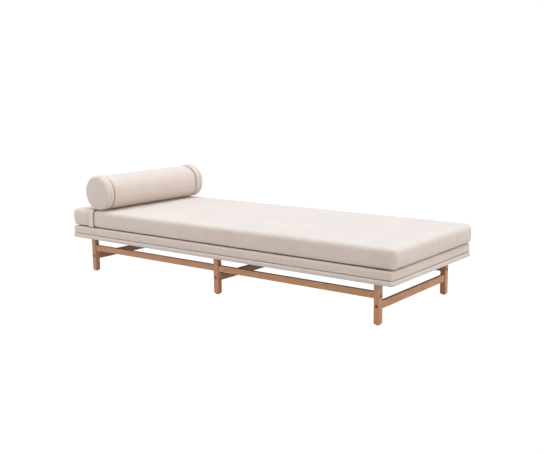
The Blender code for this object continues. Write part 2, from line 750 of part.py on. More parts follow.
def end_profile(skin):
    """(y, radius) points of a bolster end, from its groove to the middle of its domed disc."""
    edge = BOLSTER_EDGE - skin
    shoulder = GROOVE_Y + GROOVE_HALF_WIDTH
    half = BOLSTER_LENGTH / 2
    centre_y, centre_r = half - DOME_HEIGHT - BOLSTER_EDGE, BOLSTER_RADIUS - BOLSTER_EDGE
    points = [(shoulder + skin, BOLSTER_RADIUS - GROOVE_DEPTH - skin)]
    points.append((shoulder + skin, BOLSTER_RADIUS - GROOVE_HALF_WIDTH))
    points.append((shoulder + GROOVE_HALF_WIDTH / 2 + skin / 2, BOLSTER_RADIUS - skin))
    for i in range(5):
        angle = math.radians(90 * i / 4)
        points.append((centre_y + edge * math.sin(angle), centre_r + edge * math.cos(angle)))
    points.append((half - DOME_HEIGHT / 3 - skin, centre_r / 2))
    points.append((half - skin, centre_r / 10))
    return points


def mirrored(points):
    """The same points on the other end, in the opposite order."""
    return [(-y, radius) for y, radius in reversed(points)]


def sleeve_half_profile(skin):
    """(y, radius) points of the sleeve from its middle to the floor of the groove."""
    shoulder = GROOVE_Y - GROOVE_HALF_WIDTH
    return [
        (shoulder - GROOVE_HALF_WIDTH / 2 - skin / 2, BOLSTER_RADIUS - skin),
        (shoulder - skin, BOLSTER_RADIUS - GROOVE_HALF_WIDTH),
        (shoulder - skin, BOLSTER_RADIUS - GROOVE_DEPTH - skin),
    ]


def make_bolster(parent):
    """The core, the sleeve with its zip, and the two end caps."""
    skin = CLOTH + GAP
    floor = BOLSTER_RADIUS - GROOVE_DEPTH - skin
    half_profile = sleeve_half_profile(skin)[:-1]
    half_profile += [(GROOVE_Y - GROOVE_HALF_WIDTH - skin, floor)]
    half_profile += [(GROOVE_Y + GROOVE_HALF_WIDTH + skin, floor)]
    half_profile += end_profile(skin)[1:]
    core_profile = mirrored(half_profile) + half_profile
    core = add_object("bolster_core", turned_bmesh(core_profile), "foam", parent, True)
    cut(core, zip_slot_bmesh(ZIP_DEPTH + 2 * GAP, ZIP_LENGTH / 2), "zip_pocket")

    floor = BOLSTER_RADIUS - GROOVE_DEPTH
    outer = sleeve_half_profile(0.0) + [(GROOVE_Y - GAP, floor)]
    inner = [(GROOVE_Y - GAP, floor - CLOTH)] + list(reversed(sleeve_half_profile(CLOTH)))
    half_loop = outer + inner
    loop = half_loop + mirrored(half_loop)
    sleeve = add_object("bolster_sleeve", turned_bmesh(loop, is_loop=True), "cream_fabric", parent, True)
    cut(sleeve, zip_slot_bmesh(ZIP_DEPTH, ZIP_LENGTH / 2), "zip_mouth")

    outside = [(GROOVE_Y + GAP, floor)] + end_profile(0.0)
    inside = [(GROOVE_Y + GAP, floor - CLOTH)] + end_profile(CLOTH)
    cup = list(reversed(inside)) + outside
    for side_name, side in BOTH_SIDES:
        profile = [(side * y, radius) for y, radius in cup]
        add_object(f"bolster_cap_{side_name}", turned_bmesh(profile), "cream_fabric", parent, True)

    add_object("bolster_zip", zip_bmesh(bolster_zip_place), "cream_fabric", parent)
    slide = add_axis("bolster_zip_axis", (0, -ZIP_LENGTH / 2 + SLIDER_LENGTH, 0), parent)
    make_slider("bolster_zip_slider", bolster_zip_place, slide)


# Strap


def strap_layer(y_offset, z_offset, quarter, steps=5):
    """(y, z) points of a mattress edge, moved out; quarter 0 is the top back edge."""
    radius = MATTRESS_UPPER_EDGE if quarter in (0, 3) else MATTRESS_LOWER_EDGE
    centre_y = MATTRESS_WIDTH / 2 - radius
    centre_y *= 1 if quarter in (0, 1) else -1
    top = quarter in (0, 3)
    centre_z = MATTRESS_TOP - radius if top else MATTRESS_BOTTOM + radius
    points = []
    for i in range(steps + 1):
        angle = math.pi / 2 - math.pi / 2 * (quarter + i / steps)
        y = centre_y + (radius + y_offset) * math.cos(angle)
        z = centre_z + (radius + z_offset) * math.sin(angle)
        points.append((y, z))
    return points


def strap_face(clearance, overlap):
    """One face of the strap: from its outer end on the back, over the top and once round."""
    side = MATTRESS_WIDTH / 2
    points = [(side + clearance + overlap, STRAP_OUTER_END)]
    points += reversed(strap_layer(clearance + overlap, clearance, 0))
    for quarter in (3, 2, 1):
        points += reversed(strap_layer(clearance, clearance, quarter))
    points.append((side + clearance, STRAP_INNER_END))
    return points


def make_strap(parent):
    """The strap round the mattress, its hook tape and the flap sewn to the bolster."""
    overlap = CLOTH + 2 * GAP + HOOK_TAPE_THICKNESS
    inside = strap_face(STRAP_CLEARANCE, overlap)
    outside = strap_face(STRAP_CLEARANCE + CLOTH, overlap)
    outline = outside + list(reversed(inside))
    low_x, high_x = -STRAP_WIDTH / 2, STRAP_WIDTH / 2
    offset = Vector((STRAP_X, 0, 0)) - parent.location

    def place(y, z, x):
        return Vector((x, y, z)) + offset

    bm = extruded_bmesh(outline, low_x, high_x, place)
    add_object("mattress_strap", bm, "cream_fabric", parent)
    y = MATTRESS_WIDTH / 2 + STRAP_CLEARANCE + CLOTH + GAP
    half = STRAP_WIDTH / 2 - 0.002
    low = Vector((-half, y, HOOK_TAPE_Z[0])) + offset
    high = Vector((half, y + HOOK_TAPE_THICKNESS, HOOK_TAPE_Z[1])) + offset
    add_object("strap_hook_tape", box_bmesh(low, high), "cream_plastic", parent)
    bottom = MATTRESS_TOP + STRAP_CLEARANCE + CLOTH + GAP
    nearest = STRAP_X + FLAP_THICKNESS / 2 - BOLSTER_X
    top = -math.sqrt(BOLSTER_RADIUS**2 - nearest**2) - 2 * GAP
    low = Vector((-FLAP_THICKNESS / 2, -FLAP_HALF_LENGTH, bottom)) + offset
    high = Vector((FLAP_THICKNESS / 2, FLAP_HALF_LENGTH, 0)) + offset
    high.z = top
    add_object("bolster_flap", box_bmesh(low, high), "cream_fabric", parent)


def main():
    clear_scene()
    make_stand()
    make_deck()
    mattress_axis = add_axis("mattress_lift_axis", (0, 0, 0))
    make_mattress(mattress_axis)
    bolster_z = MATTRESS_TOP + BOLSTER_RADIUS + 2 * GAP
    bolster_axis = add_axis("bolster_slide_axis", (BOLSTER_X, 0, bolster_z), mattress_axis)
    make_bolster(bolster_axis)
    make_strap(bolster_axis)
    bpy.context.view_layer.update()


main()
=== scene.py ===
"""Upholstered daybed: the cloth, padding, wood and metal that dress its frame.

Units are metres and +Z is up. +X points to the foot end, -X to the head end with the bolster,
-Y is the front. Every size and place comes from the frame's own boxes. Each sub-assembly is a
class that builds its meshes as numpy surfaces and dresses them, and each finish is a small class.
"""

import logging
import math
from dataclasses import dataclass, replace
from enum import Enum
from typing import Any, Callable, Sequence

import bpy
import numpy as np
from mathutils import Matrix, Vector


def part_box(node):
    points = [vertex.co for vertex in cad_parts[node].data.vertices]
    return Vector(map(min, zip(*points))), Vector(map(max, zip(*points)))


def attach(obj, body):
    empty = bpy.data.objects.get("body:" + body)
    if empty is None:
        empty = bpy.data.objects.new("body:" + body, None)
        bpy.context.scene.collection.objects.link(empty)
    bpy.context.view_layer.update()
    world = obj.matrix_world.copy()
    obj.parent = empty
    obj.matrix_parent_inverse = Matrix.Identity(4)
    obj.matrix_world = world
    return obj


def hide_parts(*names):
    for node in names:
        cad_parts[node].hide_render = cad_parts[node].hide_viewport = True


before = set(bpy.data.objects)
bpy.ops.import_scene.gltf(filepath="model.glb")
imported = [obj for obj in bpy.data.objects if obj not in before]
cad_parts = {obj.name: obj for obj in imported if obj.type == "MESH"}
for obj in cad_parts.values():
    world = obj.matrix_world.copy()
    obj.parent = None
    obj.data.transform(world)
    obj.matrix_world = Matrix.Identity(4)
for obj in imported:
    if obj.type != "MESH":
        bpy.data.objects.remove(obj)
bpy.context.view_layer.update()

LOG = logging.getLogger("daybed")
CLOTH_MAP = "cloth_map"
SIDES = (("front", -1), ("back", 1))
STATIONS = ("head", "middle", "foot")
ENDS = ("head", "foot")
X_AXIS, Y_AXIS, Z_AXIS = np.eye(3)


# ---------------------------------------------------------------- surfaces


def frame_box(node: str) -> tuple[np.ndarray, np.ndarray]:
    """A frame part's lowest and highest corner."""
    low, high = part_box(node)
    return np.array(low, dtype=float), np.array(high, dtype=float)


def make_mesh(name: str, points: np.ndarray, *faces: np.ndarray) -> bpy.types.Object:
    """Puts a surface into the scene as one smooth object at the origin.

    Args:
        name: The piece's name.
        points: (n, 3) array of places.
        faces: Arrays of corner numbers, each with one face a row; rows of one array are as long.

    Returns:
        The new object, its faces turned so that a closed shape's point outwards.
    """
    mesh = bpy.data.meshes.new(name)
    corners = np.concatenate([group.ravel() for group in faces]).astype(np.int32)
    sizes = np.concatenate([np.full(len(group), group.shape[1]) for group in faces])
    starts = np.concatenate([[0], np.cumsum(sizes)[:-1]]).astype(np.int32)
    mesh.vertices.add(len(points))
    mesh.vertices.foreach_set("co", np.ascontiguousarray(points, np.float32).ravel())
    mesh.loops.add(len(corners))
    mesh.loops.foreach_set("vertex_index", corners)
    mesh.polygons.add(len(sizes))
    mesh.polygons.foreach_set("loop_start", starts)
    mesh.update(calc_edges=True)
    mesh.validate()
    if signed_volume(mesh) < 0:
        mesh.flip_normals()
    mesh.shade_smooth()
    obj = bpy.data.objects.new(name, mesh)
    bpy.context.scene.collection.objects.link(obj)
    return obj


def signed_volume(mesh: bpy.types.Mesh) -> float:
    """A closed mesh's volume, negative if its faces point inwards: the sum over its triangles of
    a third of each one's area times its plane's distance from the origin."""
    mesh.calc_loop_triangles()
    triangles = read_values(mesh.loop_triangles, "vertices", 3, np.int32)
    a, b, c = read_points(mesh)[triangles].transpose(1, 0, 2)
    return float(np.einsum("ij,ij->i", a, np.cross(b, c)).sum() / 6)


def read_values(items: Any, key: str, width: int = 1, kind: type = np.float32) -> np.ndarray:
    """One attribute of all of a mesh's items: (n,) numbers, or (n, width) if width isn't 1."""
    values = np.empty(len(items) * width, kind)
    items.foreach_get(key, values)
    return values.reshape(-1, width) if width > 1 else values


def read_points(mesh: bpy.types.Mesh) -> np.ndarray:
    """A mesh's vertices as an (n, 3) array."""
    return read_values(mesh.vertices, "co", 3).astype(float)


def write_points(mesh: bpy.types.Mesh, points: np.ndarray) -> None:
    """Puts an (n, 3) array back into a mesh's vertices."""
    mesh.vertices.foreach_set("co", np.ascontiguousarray(points, np.float32).ravel())
    mesh.update()


def grid_faces(rows: int, columns: int, wrap: bool = False, offset: int = 0) -> np.ndarray:
    """The quads of a grid of points numbered row by row.

    Args:
        rows: Number of rows.
        columns: Number of columns.
        wrap: True if the last column joins the first.
        offset: Number of the grid's first point.

    Returns:
        (n, 4) array of corner numbers.
    """
    ids = np.arange(rows * columns).reshape(rows, columns) + offset
    if wrap:
        ids = np.concatenate([ids, ids[:, :1]], axis=1)
    return np.stack([ids[:-1, :-1], ids[:-1, 1:], ids[1:, 1:], ids[1:, :-1]], -1).reshape(-1, 4)


def spaced(low: float, high: float, step: float, keep: Sequence[float] = ()) -> np.ndarray:
    """Evenly spaced lines from low to high, about step apart, with the lines of keep among them.

    Args:
        low: First line.
        high: Last line.
        step: Wanted distance between lines.
        keep: Lines that have to be there; even lines too near to one of them are left out.

    Returns:
        The lines in order.
    """
    even = np.linspace(low, high, max(2, round((high - low) / step) + 1))
    kept = np.array(sorted(keep), float)
    if len(kept):
        near = np.abs(even[:, None] - kept[None, :]).min(axis=1) < step * 0.45
        near[[0, -1]] = False
        even = np.sort(np.concatenate([even[~near], kept]))
    return even


def box_lattice(xs: np.ndarray, ys: np.ndarray, zs: np.ndarray) -> tuple[np.ndarray, np.ndarray]:
    """The closed surface of a box, ruled by lines along all three axes.

    Args:
        xs, ys, zs: The places of the lines on each axis, in order.

    Returns:
        The points and the quads; the six faces share the points along their edges.
    """
    ids = np.arange(len(xs) * len(ys) * len(zs)).reshape(len(xs), len(ys), len(zs))
    walls = (
        (ids[:, :, 0], True), (ids[:, :, -1], False), (ids[:, 0, :], False),
        (ids[:, -1, :], True), (ids[0, :, :], True), (ids[-1, :, :], False),
    )
    quads = []
    for wall, turned in walls:
        quad = np.stack([wall[:-1, :-1], wall[1:, :-1], wall[1:, 1:], wall[:-1, 1:]], -1)
        quad = quad.reshape(-1, 4)
        quads.append(quad[:, ::-1] if turned else quad)
    used, faces = np.unique(np.concatenate(quads), return_inverse=True)
    lattice = np.stack(np.meshgrid(xs, ys, zs, indexing="ij"), -1).reshape(-1, 3)
    return lattice[used], faces.reshape(-1, 4)


def bend_corner(
    a: np.ndarray, b: np.ndarray, a_edge: float, b_edge: float, radius: float
) -> tuple[np.ndarray, np.ndarray]:
    """Bends the square corner between two coordinates into a quarter circle.

    A point's shares u and v of the way across the corner's square move to
    u * sqrt(1 - v * v / 2) and v * sqrt(1 - u * u / 2), which lays the square over the disc.

    Args:
        a, b: The two coordinates, both growing towards the corner.
        a_edge, b_edge: Where the two faces lie.
        radius: The rounding's radius.

    Returns:
        The two bent coordinates.
    """
    u = np.clip((a - a_edge + radius) / radius, 0, 1)
    v = np.clip((b - b_edge + radius) / radius, 0, 1)
    inside = (u > 0) & (v > 0)
    bent_a = a_edge - radius + radius * u * np.sqrt(1 - v * v / 2)
    bent_b = b_edge - radius + radius * v * np.sqrt(1 - u * u / 2)
    return np.where(inside, bent_a, a), np.where(inside, bent_b, b)


@dataclass(frozen=True)
class SoftSlab:
    """A slab with round edges: half sizes in X and Y, a bottom and a top, and three radii."""

    half_x: float
    half_y: float
    bottom: float
    top: float
    corner: float
    upper_edge: float
    lower_edge: float

    def shrunk(self, amount: float) -> "SoftSlab":
        """The same slab with every face moved in."""
        return replace(
            self, half_x=self.half_x - amount, half_y=self.half_y - amount,
            bottom=self.bottom + amount, top=self.top - amount,
            corner=max(self.corner - amount, 0.002), upper_edge=max(self.upper_edge - amount, 0.002),
            lower_edge=max(self.lower_edge - amount, 0.002),
        )

    def surface(
        self,
        step: float,
        keep_x: Sequence[float] = (),
        keep_y: Sequence[float] = (),
        keep_z: Sequence[float] = (),
    ) -> tuple[np.ndarray, np.ndarray]:
        """The slab's surface: a box lattice whose edges are bent round.

        Args:
            step: Wanted distance between the lattice's lines.
            keep_x, keep_y, keep_z: Lines that have to be there.

        Returns:
            The points and the quads.
        """
        xs = spaced(-self.half_x, self.half_x, step, keep_x)
        ys = spaced(-self.half_y, self.half_y, step, keep_y)
        zs = spaced(self.bottom, self.top, step, keep_z)
        points, faces = box_lattice(xs, ys, zs)
        x, y, z = points.T
        sign_x, sign_y, x, y = np.sign(x), np.sign(y), np.abs(x), np.abs(y)
        x, z = bend_corner(x, z, self.half_x, self.top, self.upper_edge)
        y, z = bend_corner(y, z, self.half_y, self.top, self.upper_edge)
        x, z = bend_corner(x, -z, self.half_x, -self.bottom, self.lower_edge)
        y, z = bend_corner(y, z, self.half_y, -self.bottom, self.lower_edge)
        x, y = bend_corner(x, y, self.half_x, self.half_y, self.corner)
        return np.stack([sign_x * x, sign_y * y, -z], -1), faces

    def held_inside(self, points: np.ndarray, skin: float) -> np.ndarray:
        """Moves points that stand outside the slab's YZ section back to skin inside it.

        The section's distance is that of a rectangle with round corners: the length of what a
        point has beyond the corner's centre, less the corner's radius.

        Args:
            points: (n, 3) array of places.
            skin: How far inside the section the points have to stay.

        Returns:
            The corrected points.
        """
        middle = (self.bottom + self.top) / 2
        y, z = points[:, 1], points[:, 2] - middle
        radius = np.where(z > 0, self.upper_edge, self.lower_edge)
        over_y = np.maximum(np.abs(y) - (self.half_y - radius), 0)
        over_z = np.maximum(np.abs(z) - ((self.top - self.bottom) / 2 - radius), 0)
        reach = np.hypot(over_y, over_z)
        shrink = np.where(reach > radius - skin, (radius - skin) / np.maximum(reach, 1e-9), 1.0)
        held = points.copy()
        held[:, 1] -= np.sign(y) * over_y * (1 - shrink)
        held[:, 2] -= np.sign(z) * over_z * (1 - shrink)
        return held


def swept_profile(profile: np.ndarray, path: np.ndarray, out: np.ndarray, side: np.ndarray) -> np.ndarray:
    """The points of a closed profile carried along a path.

    Each point is the path's point plus the profile's first number along the side direction and
    its second along the outward direction there.

    Args:
        profile: (m, 2) array of the profile's points.
        path: (n, 3) array of the path's points.
        out: (n, 3) array of the outward directions along the path.
        side: (n, 3) array or one direction, across the path.

    Returns:
        (n * m, 3) array, row by row along the path.
    """
    across = np.broadcast_to(side, path.shape)
    points = path[:, None, :] + profile[None, :, 0, None] * across[:, None, :]
    return (points + profile[None, :, 1, None] * out[:, None, :]).reshape(-1, 3)


def ribbon_profile(width: float, thickness: float, across: int = 12) -> np.ndarray:
    """The section of a flat strap: two straight faces and two half-round edges.

    Args:
        width: The strap's width.
        thickness: Its thickness; the section's second number runs from 0 to this.
        across: Number of steps over each flat face.

    Returns:
        (m, 2) array of the closed outline, anticlockwise.
    """
    radius = thickness / 2
    flat = np.linspace(-width / 2 + radius, width / 2 - radius, across + 1)
    turn = np.radians([-60, -30, 0, 30, 60])
    low = np.stack([flat, np.zeros_like(flat)], -1)
    high = np.stack([flat[::-1], np.full_like(flat, thickness)], -1)
    right = np.stack([flat[-1] + radius * np.cos(turn), radius + radius * np.sin(turn)], -1)
    left = np.stack([-right[::-1, 0], right[::-1, 1]], -1)
    return np.concatenate([low, right, high, left])


def smooth_noise(points: np.ndarray, length: float, seed: int, count: int = 24) -> np.ndarray:
    """Gentle irregularity over a surface, about -1 to 1: a sum of sine waves of random direction
    and phase, their wavelengths spread round the given length.

    Args:
        points: (n, 3) array of places.
        length: The mean wavelength.
        seed: Picks the waves.
        count: Number of waves.

    Returns:
        One number for each point.
    """
    random = np.random.default_rng(seed)
    directions = random.normal(size=(count, 3))
    directions /= np.linalg.norm(directions, axis=1, keepdims=True)
    waves = directions * (2 * math.pi / (length * random.uniform(0.6, 1.7, (count, 1))))
    phases = random.uniform(0, 2 * math.pi, count)
    return np.sin(points @ waves.T + phases).sum(axis=1) / math.sqrt(count)


def uneven(
    points: np.ndarray, wide: float, fine: float, seed: int, squeeze: Sequence[float] = (1, 1, 1)
) -> np.ndarray:
    """The unevenness of stuffed cloth, about -1 to 1: wide waves with finer ones on them.

    Args:
        points: (n, 3) array of places.
        wide, fine: The two wavelengths.
        seed: Picks the waves.
        squeeze: Factors for the places on each axis, for the wide waves.

    Returns:
        One number for each point.
    """
    return 0.6 * smooth_noise(points * squeeze, wide, seed) + 0.4 * smooth_noise(points, fine, seed + 1)


def bell(distance: np.ndarray, width: float) -> np.ndarray:
    """A soft bump: 1 at no distance, falling to nearly 0 at twice the width."""
    return np.exp(-((distance / width) ** 2))


def vertex_normals(mesh: bpy.types.Mesh) -> np.ndarray:
    """A mesh's vertex normals as an (n, 3) array."""
    return read_values(mesh.vertex_normals, "vector", 3).astype(float)


def set_cloth_map(obj: bpy.types.Object, places: np.ndarray) -> None:
    """Lays the cloth's threads: a UV map in metres of cloth.

    Args:
        obj: The piece.
        places: (corners, 2) array, one row for each face corner.
    """
    layer = obj.data.uv_layers.new(name=CLOTH_MAP)
    layer.data.foreach_set("uv", np.ascontiguousarray(places, np.float32).ravel())


def corner_vertices(mesh: bpy.types.Mesh) -> np.ndarray:
    """The vertex number at each face corner."""
    return read_values(mesh.loops, "vertex_index", 1, np.int32)


def map_by_panels(obj: bpy.types.Object) -> None:
    """Lays the cloth's threads along the box's edges, each face from its own panel: level faces
    by X and Y, the long sides by X and Z, the short ones by Y and Z."""
    mesh = obj.data
    normals = read_values(mesh.polygons, "normal", 3)
    totals = read_values(mesh.polygons, "loop_total", 1, np.int32)
    facing = np.repeat(np.abs(normals).argmax(axis=1), totals)
    at = read_points(mesh)[corner_vertices(mesh)]
    first = np.where(facing == 0, at[:, 1], at[:, 0])
    second = np.where(facing == 2, at[:, 1], at[:, 2])
    set_cloth_map(obj, np.stack([first, second], -1))


@dataclass(frozen=True)
class Stuffing:
    """How hard a cover is filled, as cloth blown up a little and held near its pattern."""

    pressure: float = 4.0
    frames: int = 20
    cap: float = 0.0045
    stiffness: float = 15.0
    bending: float = 2.0
    give: float = 0.0004

    def fill(self, obj: bpy.types.Object, pinned: np.ndarray | None = None) -> None:
        """Runs the cloth on the piece's own mesh and keeps the result in it.

        Each point keeps its direction of travel, but goes no further than the cap, and no further
        in than the give, as the stuffing stops it.

        Args:
            obj: The closed cover.
            pinned: How firmly each vertex is held, 0 to 1, or None.
        """
        start = read_points(obj.data)
        normals = vertex_normals(obj.data)
        if pinned is not None:
            self.pin(obj, pinned)
        cloth = obj.modifiers.new("filling", "CLOTH")
        settings = cloth.settings
        settings.quality = 5
        settings.mass = 0.3
        settings.tension_stiffness = self.stiffness
        settings.compression_stiffness = self.stiffness
        settings.shear_stiffness = self.stiffness / 2
        settings.bending_stiffness = self.bending
        settings.use_pressure = True
        settings.uniform_pressure_force = self.pressure
        settings.effector_weights.gravity = 0.0
        if pinned is not None:
            settings.vertex_group_mass = "held"
        cloth.point_cache.frame_start = 1
        cloth.point_cache.frame_end = self.frames
        scene = bpy.context.scene
        for number in range(1, self.frames + 1):
            scene.frame_set(number)
        graph = bpy.context.evaluated_depsgraph_get()
        blown = read_points(obj.evaluated_get(graph).data)
        obj.modifiers.remove(cloth)
        scene.frame_set(1)
        move = blown - start
        inward = np.minimum((move * normals).sum(axis=1) + self.give, 0.0)
        move -= normals * inward[:, None]
        length = np.linalg.norm(move, axis=1, keepdims=True)
        move *= np.minimum(1.0, self.cap / np.maximum(length, 1e-9))
        write_points(obj.data, start + move)

    @staticmethod
    def pin(obj: bpy.types.Object, weights: np.ndarray) -> None:
        """Makes the group that holds parts of the cloth still; weights go in eight steps."""
        group = obj.vertex_groups.new(name="held")
        steps = np.round(np.clip(weights, 0, 1) * 8).astype(int)
        for step in range(1, 9):
            group.add(np.nonzero(steps == step)[0].tolist(), step / 8, "REPLACE")


# ---------------------------------------------------------------- finishes


class Graph:
    """A node tree being built, for a material or a group."""

    def __init__(self, tree: bpy.types.NodeTree) -> None:
        """Starts on a tree.

        Args:
            tree: The material's or group's node tree.
        """
        self.tree = tree

    def add(self, kind: str, inputs: dict[Any, Any] | None = None, **settings: Any) -> bpy.types.Node:
        """Adds a node.

        Args:
            kind: The node's type name, without its ShaderNode.
            inputs: Input name or number to a value or to another node's output.
            settings: The node's own properties.

        Returns:
            The node.
        """
        node = self.tree.nodes.new(f"ShaderNode{kind}")
        for key, value in settings.items():
            setattr(node, key, value)
        for key, value in (inputs or {}).items():
            if isinstance(value, bpy.types.NodeSocket):
                self.tree.links.new(value, node.inputs[key])
            else:
                node.inputs[key].default_value = value
        return node

    def maths(self, operation: str, *values: Any, clamp: bool = False) -> bpy.types.NodeSocket:
        """One step of arithmetic on values or outputs."""
        inputs = dict(enumerate(values))
        return self.add("Math", inputs, operation=operation, use_clamp=clamp).outputs[0]

    def blend(self, share: Any, first: Any, second: Any) -> bpy.types.NodeSocket:
        """A colour between two, by a share from 0 to 1."""
        node = self.add("Mix", data_type="RGBA")
        sockets = (node.inputs[number] for number in (0, 6, 7))
        for socket, value in zip(sockets, (share, first, second)):
            if isinstance(value, bpy.types.NodeSocket):
                self.tree.links.new(value, socket)
            else:
                socket.default_value = value
        return node.outputs[2]

    def spread(
        self, value: Any, low: float, high: float, to_low: float, to_high: float
    ) -> bpy.types.NodeSocket:
        """A value's range stretched to another, held at its ends."""
        numbers = {0: value, 1: low, 2: high, 3: to_low, 4: to_high}
        return self.add("MapRange", numbers, clamp=True).outputs[0]

    def noise(
        self, vector: Any, scale: float, detail: float = 2.0, roughness: float = 0.5
    ) -> bpy.types.NodeSocket:
        """Soft noise from 0 to 1."""
        values = {"Vector": vector, "Scale": scale, "Detail": detail, "Roughness": roughness}
        return self.add("TexNoise", values).outputs[0]

    def stretched(self, vector: Any, scale: Sequence[float]) -> bpy.types.NodeSocket:
        """A vector with each part scaled."""
        return self.add("Mapping", {"Vector": vector, "Scale": scale}).outputs[0]


def rgba(colour: Sequence[float]) -> tuple[float, float, float, float]:
    """A colour with full opacity."""
    return (colour[0], colour[1], colour[2], 1.0)


def make_group(
    name: str, inputs: dict[str, Any], outputs: Sequence[str], fill: Callable[[Graph, Any, Any], None]
) -> bpy.types.NodeTree:
    """A shared node group, made once.

    Args:
        name: The group's name.
        inputs: Input name to its default: a number, or None for a vector.
        outputs: Names of the outputs, all plain numbers.
        fill: Builds the inside from the graph, the input node and the output node.

    Returns:
        The group's tree.
    """
    known = bpy.data.node_groups.get(name)
    if known:
        return known
    tree = bpy.data.node_groups.new(name, "ShaderNodeTree")
    for key, value in inputs.items():
        kind = "NodeSocketVector" if value is None else "NodeSocketFloat"
        socket = tree.interface.new_socket(key, in_out="INPUT", socket_type=kind)
        if value is not None:
            socket.default_value = value
    for key in outputs:
        tree.interface.new_socket(key, in_out="OUTPUT", socket_type="NodeSocketFloat")
    graph = Graph(tree)
    fill(graph, tree.nodes.new("NodeGroupInput"), tree.nodes.new("NodeGroupOutput"))
    return tree


def plain_weave() -> bpy.types.NodeTree:
    """The group that draws a plain weave from the cloth map.

    Threads are sine humps one pitch wide along both directions. In every other cell of the
    check the warp hump lies on top, and in the rest the weft does. Gap is high where four
    threads meet.
    """

    def fill(graph: Graph, given: Any, out: Any) -> None:
        """Builds the weave's inside."""
        parts = graph.add("SeparateXYZ", {0: given.outputs["Cloth"]})
        turns = [
            graph.maths("DIVIDE", graph.maths("MULTIPLY", part, math.pi), given.outputs["Pitch"])
            for part in parts.outputs[:2]
        ]
        waves = [graph.maths("SINE", turn) for turn in turns]
        humps = [graph.maths("ABSOLUTE", wave) for wave in waves]
        check = graph.maths("MULTIPLY_ADD", graph.maths("MULTIPLY", *waves), 5.0, 0.5, clamp=True)
        dips = [graph.maths("MULTIPLY_ADD", hump, 0.4, 0.6) for hump in reversed(humps)]
        warp, weft = (graph.maths("MULTIPLY", hump, dip) for hump, dip in zip(humps, dips))
        over = graph.maths("MULTIPLY", graph.maths("SUBTRACT", warp, weft), check)
        height = graph.maths("ADD", weft, over)
        gap = graph.maths("SUBTRACT", 1.0, graph.maths("SQRT", graph.maths("MULTIPLY", *humps)))
        graph.tree.links.new(height, out.inputs["Height"])
        graph.tree.links.new(gap, out.inputs["Gap"])

    return make_group("plain_weave", {"Cloth": None, "Pitch": 0.0012}, ("Height", "Gap"), fill)


def thick_threads() -> bpy.types.NodeTree:
    """The group for slubs: short stretches of thicker thread along both directions, drawn as
    noise that is stretched along the thread and cut off below a level."""

    def fill(graph: Graph, given: Any, out: Any) -> None:
        """Builds the slubs' inside."""
        cloth = given.outputs["Cloth"]
        streaks = [
            graph.noise(graph.stretched(cloth, scale), 1.0, 2.0, 0.6)
            for scale in ((16.0, 420.0, 1.0), (420.0, 16.0, 1.0))
        ]
        best = graph.maths("MAXIMUM", *streaks)
        low = graph.maths("SUBTRACT", 0.72, given.outputs["Amount"])
        slub = graph.add("MapRange", {0: best, 1: low, 2: 0.80, 3: 0.0, 4: 1.0}, clamp=True)
        graph.tree.links.new(slub.outputs[0], out.inputs["Slub"])

    return make_group("thick_threads", {"Cloth": None, "Amount": 0.12}, ("Slub",), fill)


def long_grain() -> bpy.types.NodeTree:
    """The group for wood that was cut along its length, which is the vector's X.

    Figure is a set of stretched, bent bands for the growth rings, Fibre is fine streaks, and
    Pores is short dark dashes.
    """

    def fill(graph: Graph, given: Any, out: Any) -> None:
        """Builds the grain's inside."""
        along = given.outputs["Along"]
        bend = graph.noise(graph.stretched(along, (1.6, 14.0, 14.0)), 1.0, 3.0, 0.5)
        rings = graph.add(
            "TexWave",
            {"Vector": graph.stretched(along, (0.35, 1.0, 1.0)), "Scale": 26.0, "Distortion": 7.0,
             "Detail": 2.0, "Detail Scale": 1.4, "Detail Roughness": 0.6},
            wave_type="BANDS", bands_direction="Y", wave_profile="SAW",
        )
        mixed = graph.maths("MULTIPLY_ADD", rings.outputs[1], 0.45, graph.maths("MULTIPLY", bend, 0.55))
        fibre = graph.noise(graph.stretched(along, (9.0, 620.0, 620.0)), 1.0, 3.0, 0.6)
        dashes = graph.noise(graph.stretched(along, (55.0, 1500.0, 1500.0)), 1.0, 1.0, 0.5)
        pores = graph.spread(dashes, 0.60, 0.70, 0.0, 1.0)
        for value, key in ((mixed, "Figure"), (fibre, "Fibre"), (pores, "Pores")):
            graph.tree.links.new(value, out.inputs[key])

    return make_group("long_grain", {"Along": None}, ("Figure", "Fibre", "Pores"), fill)


def begin_material(name: str) -> tuple[bpy.types.Material, Graph, bpy.types.Node]:
    """A new material, its graph and its Principled shader."""
    material = bpy.data.materials.new(name)
    material.use_nodes = True
    graph = Graph(material.node_tree)
    return material, graph, material.node_tree.nodes["Principled BSDF"]


def link_surface(
    graph: Graph, shader: bpy.types.Node, colour: Any, roughness: Any, height: Any, relief: float
) -> None:
    """Feeds a shader's colour, roughness and bump.

    Args:
        graph: The material's graph.
        shader: Its Principled shader.
        colour: Output for the base colour.
        roughness: Output or number for the roughness.
        height: Output for the bump's height, 0 to 1.
        relief: How many metres high the bump is.
    """
    bump = graph.add("Bump", {"Height": height, "Distance": relief, "Strength": 1.0})
    links = graph.tree.links
    links.new(colour, shader.inputs["Base Color"])
    if isinstance(roughness, bpy.types.NodeSocket):
        links.new(roughness, shader.inputs["Roughness"])
    else:
        shader.inputs["Roughness"].default_value = roughness
    links.new(bump.outputs[0], shader.inputs["Normal"])


@dataclass(frozen=True)
class Finish:
    """The look of a surface: a name, and the material of that name, built once."""

    name: str

    def material(self) -> bpy.types.Material:
        """The finish's material."""
        known = bpy.data.materials.get(self.name)
        if known:
            return known
        material, graph, shader = begin_material(self.name)
        self.fill(graph, shader)
        return material

    def fill(self, graph: Graph, shader: bpy.types.Node) -> None:
        """Builds the material's inside.

        Args:
            graph: The material's graph.
            shader: Its Principled shader.
        """
        raise NotImplementedError


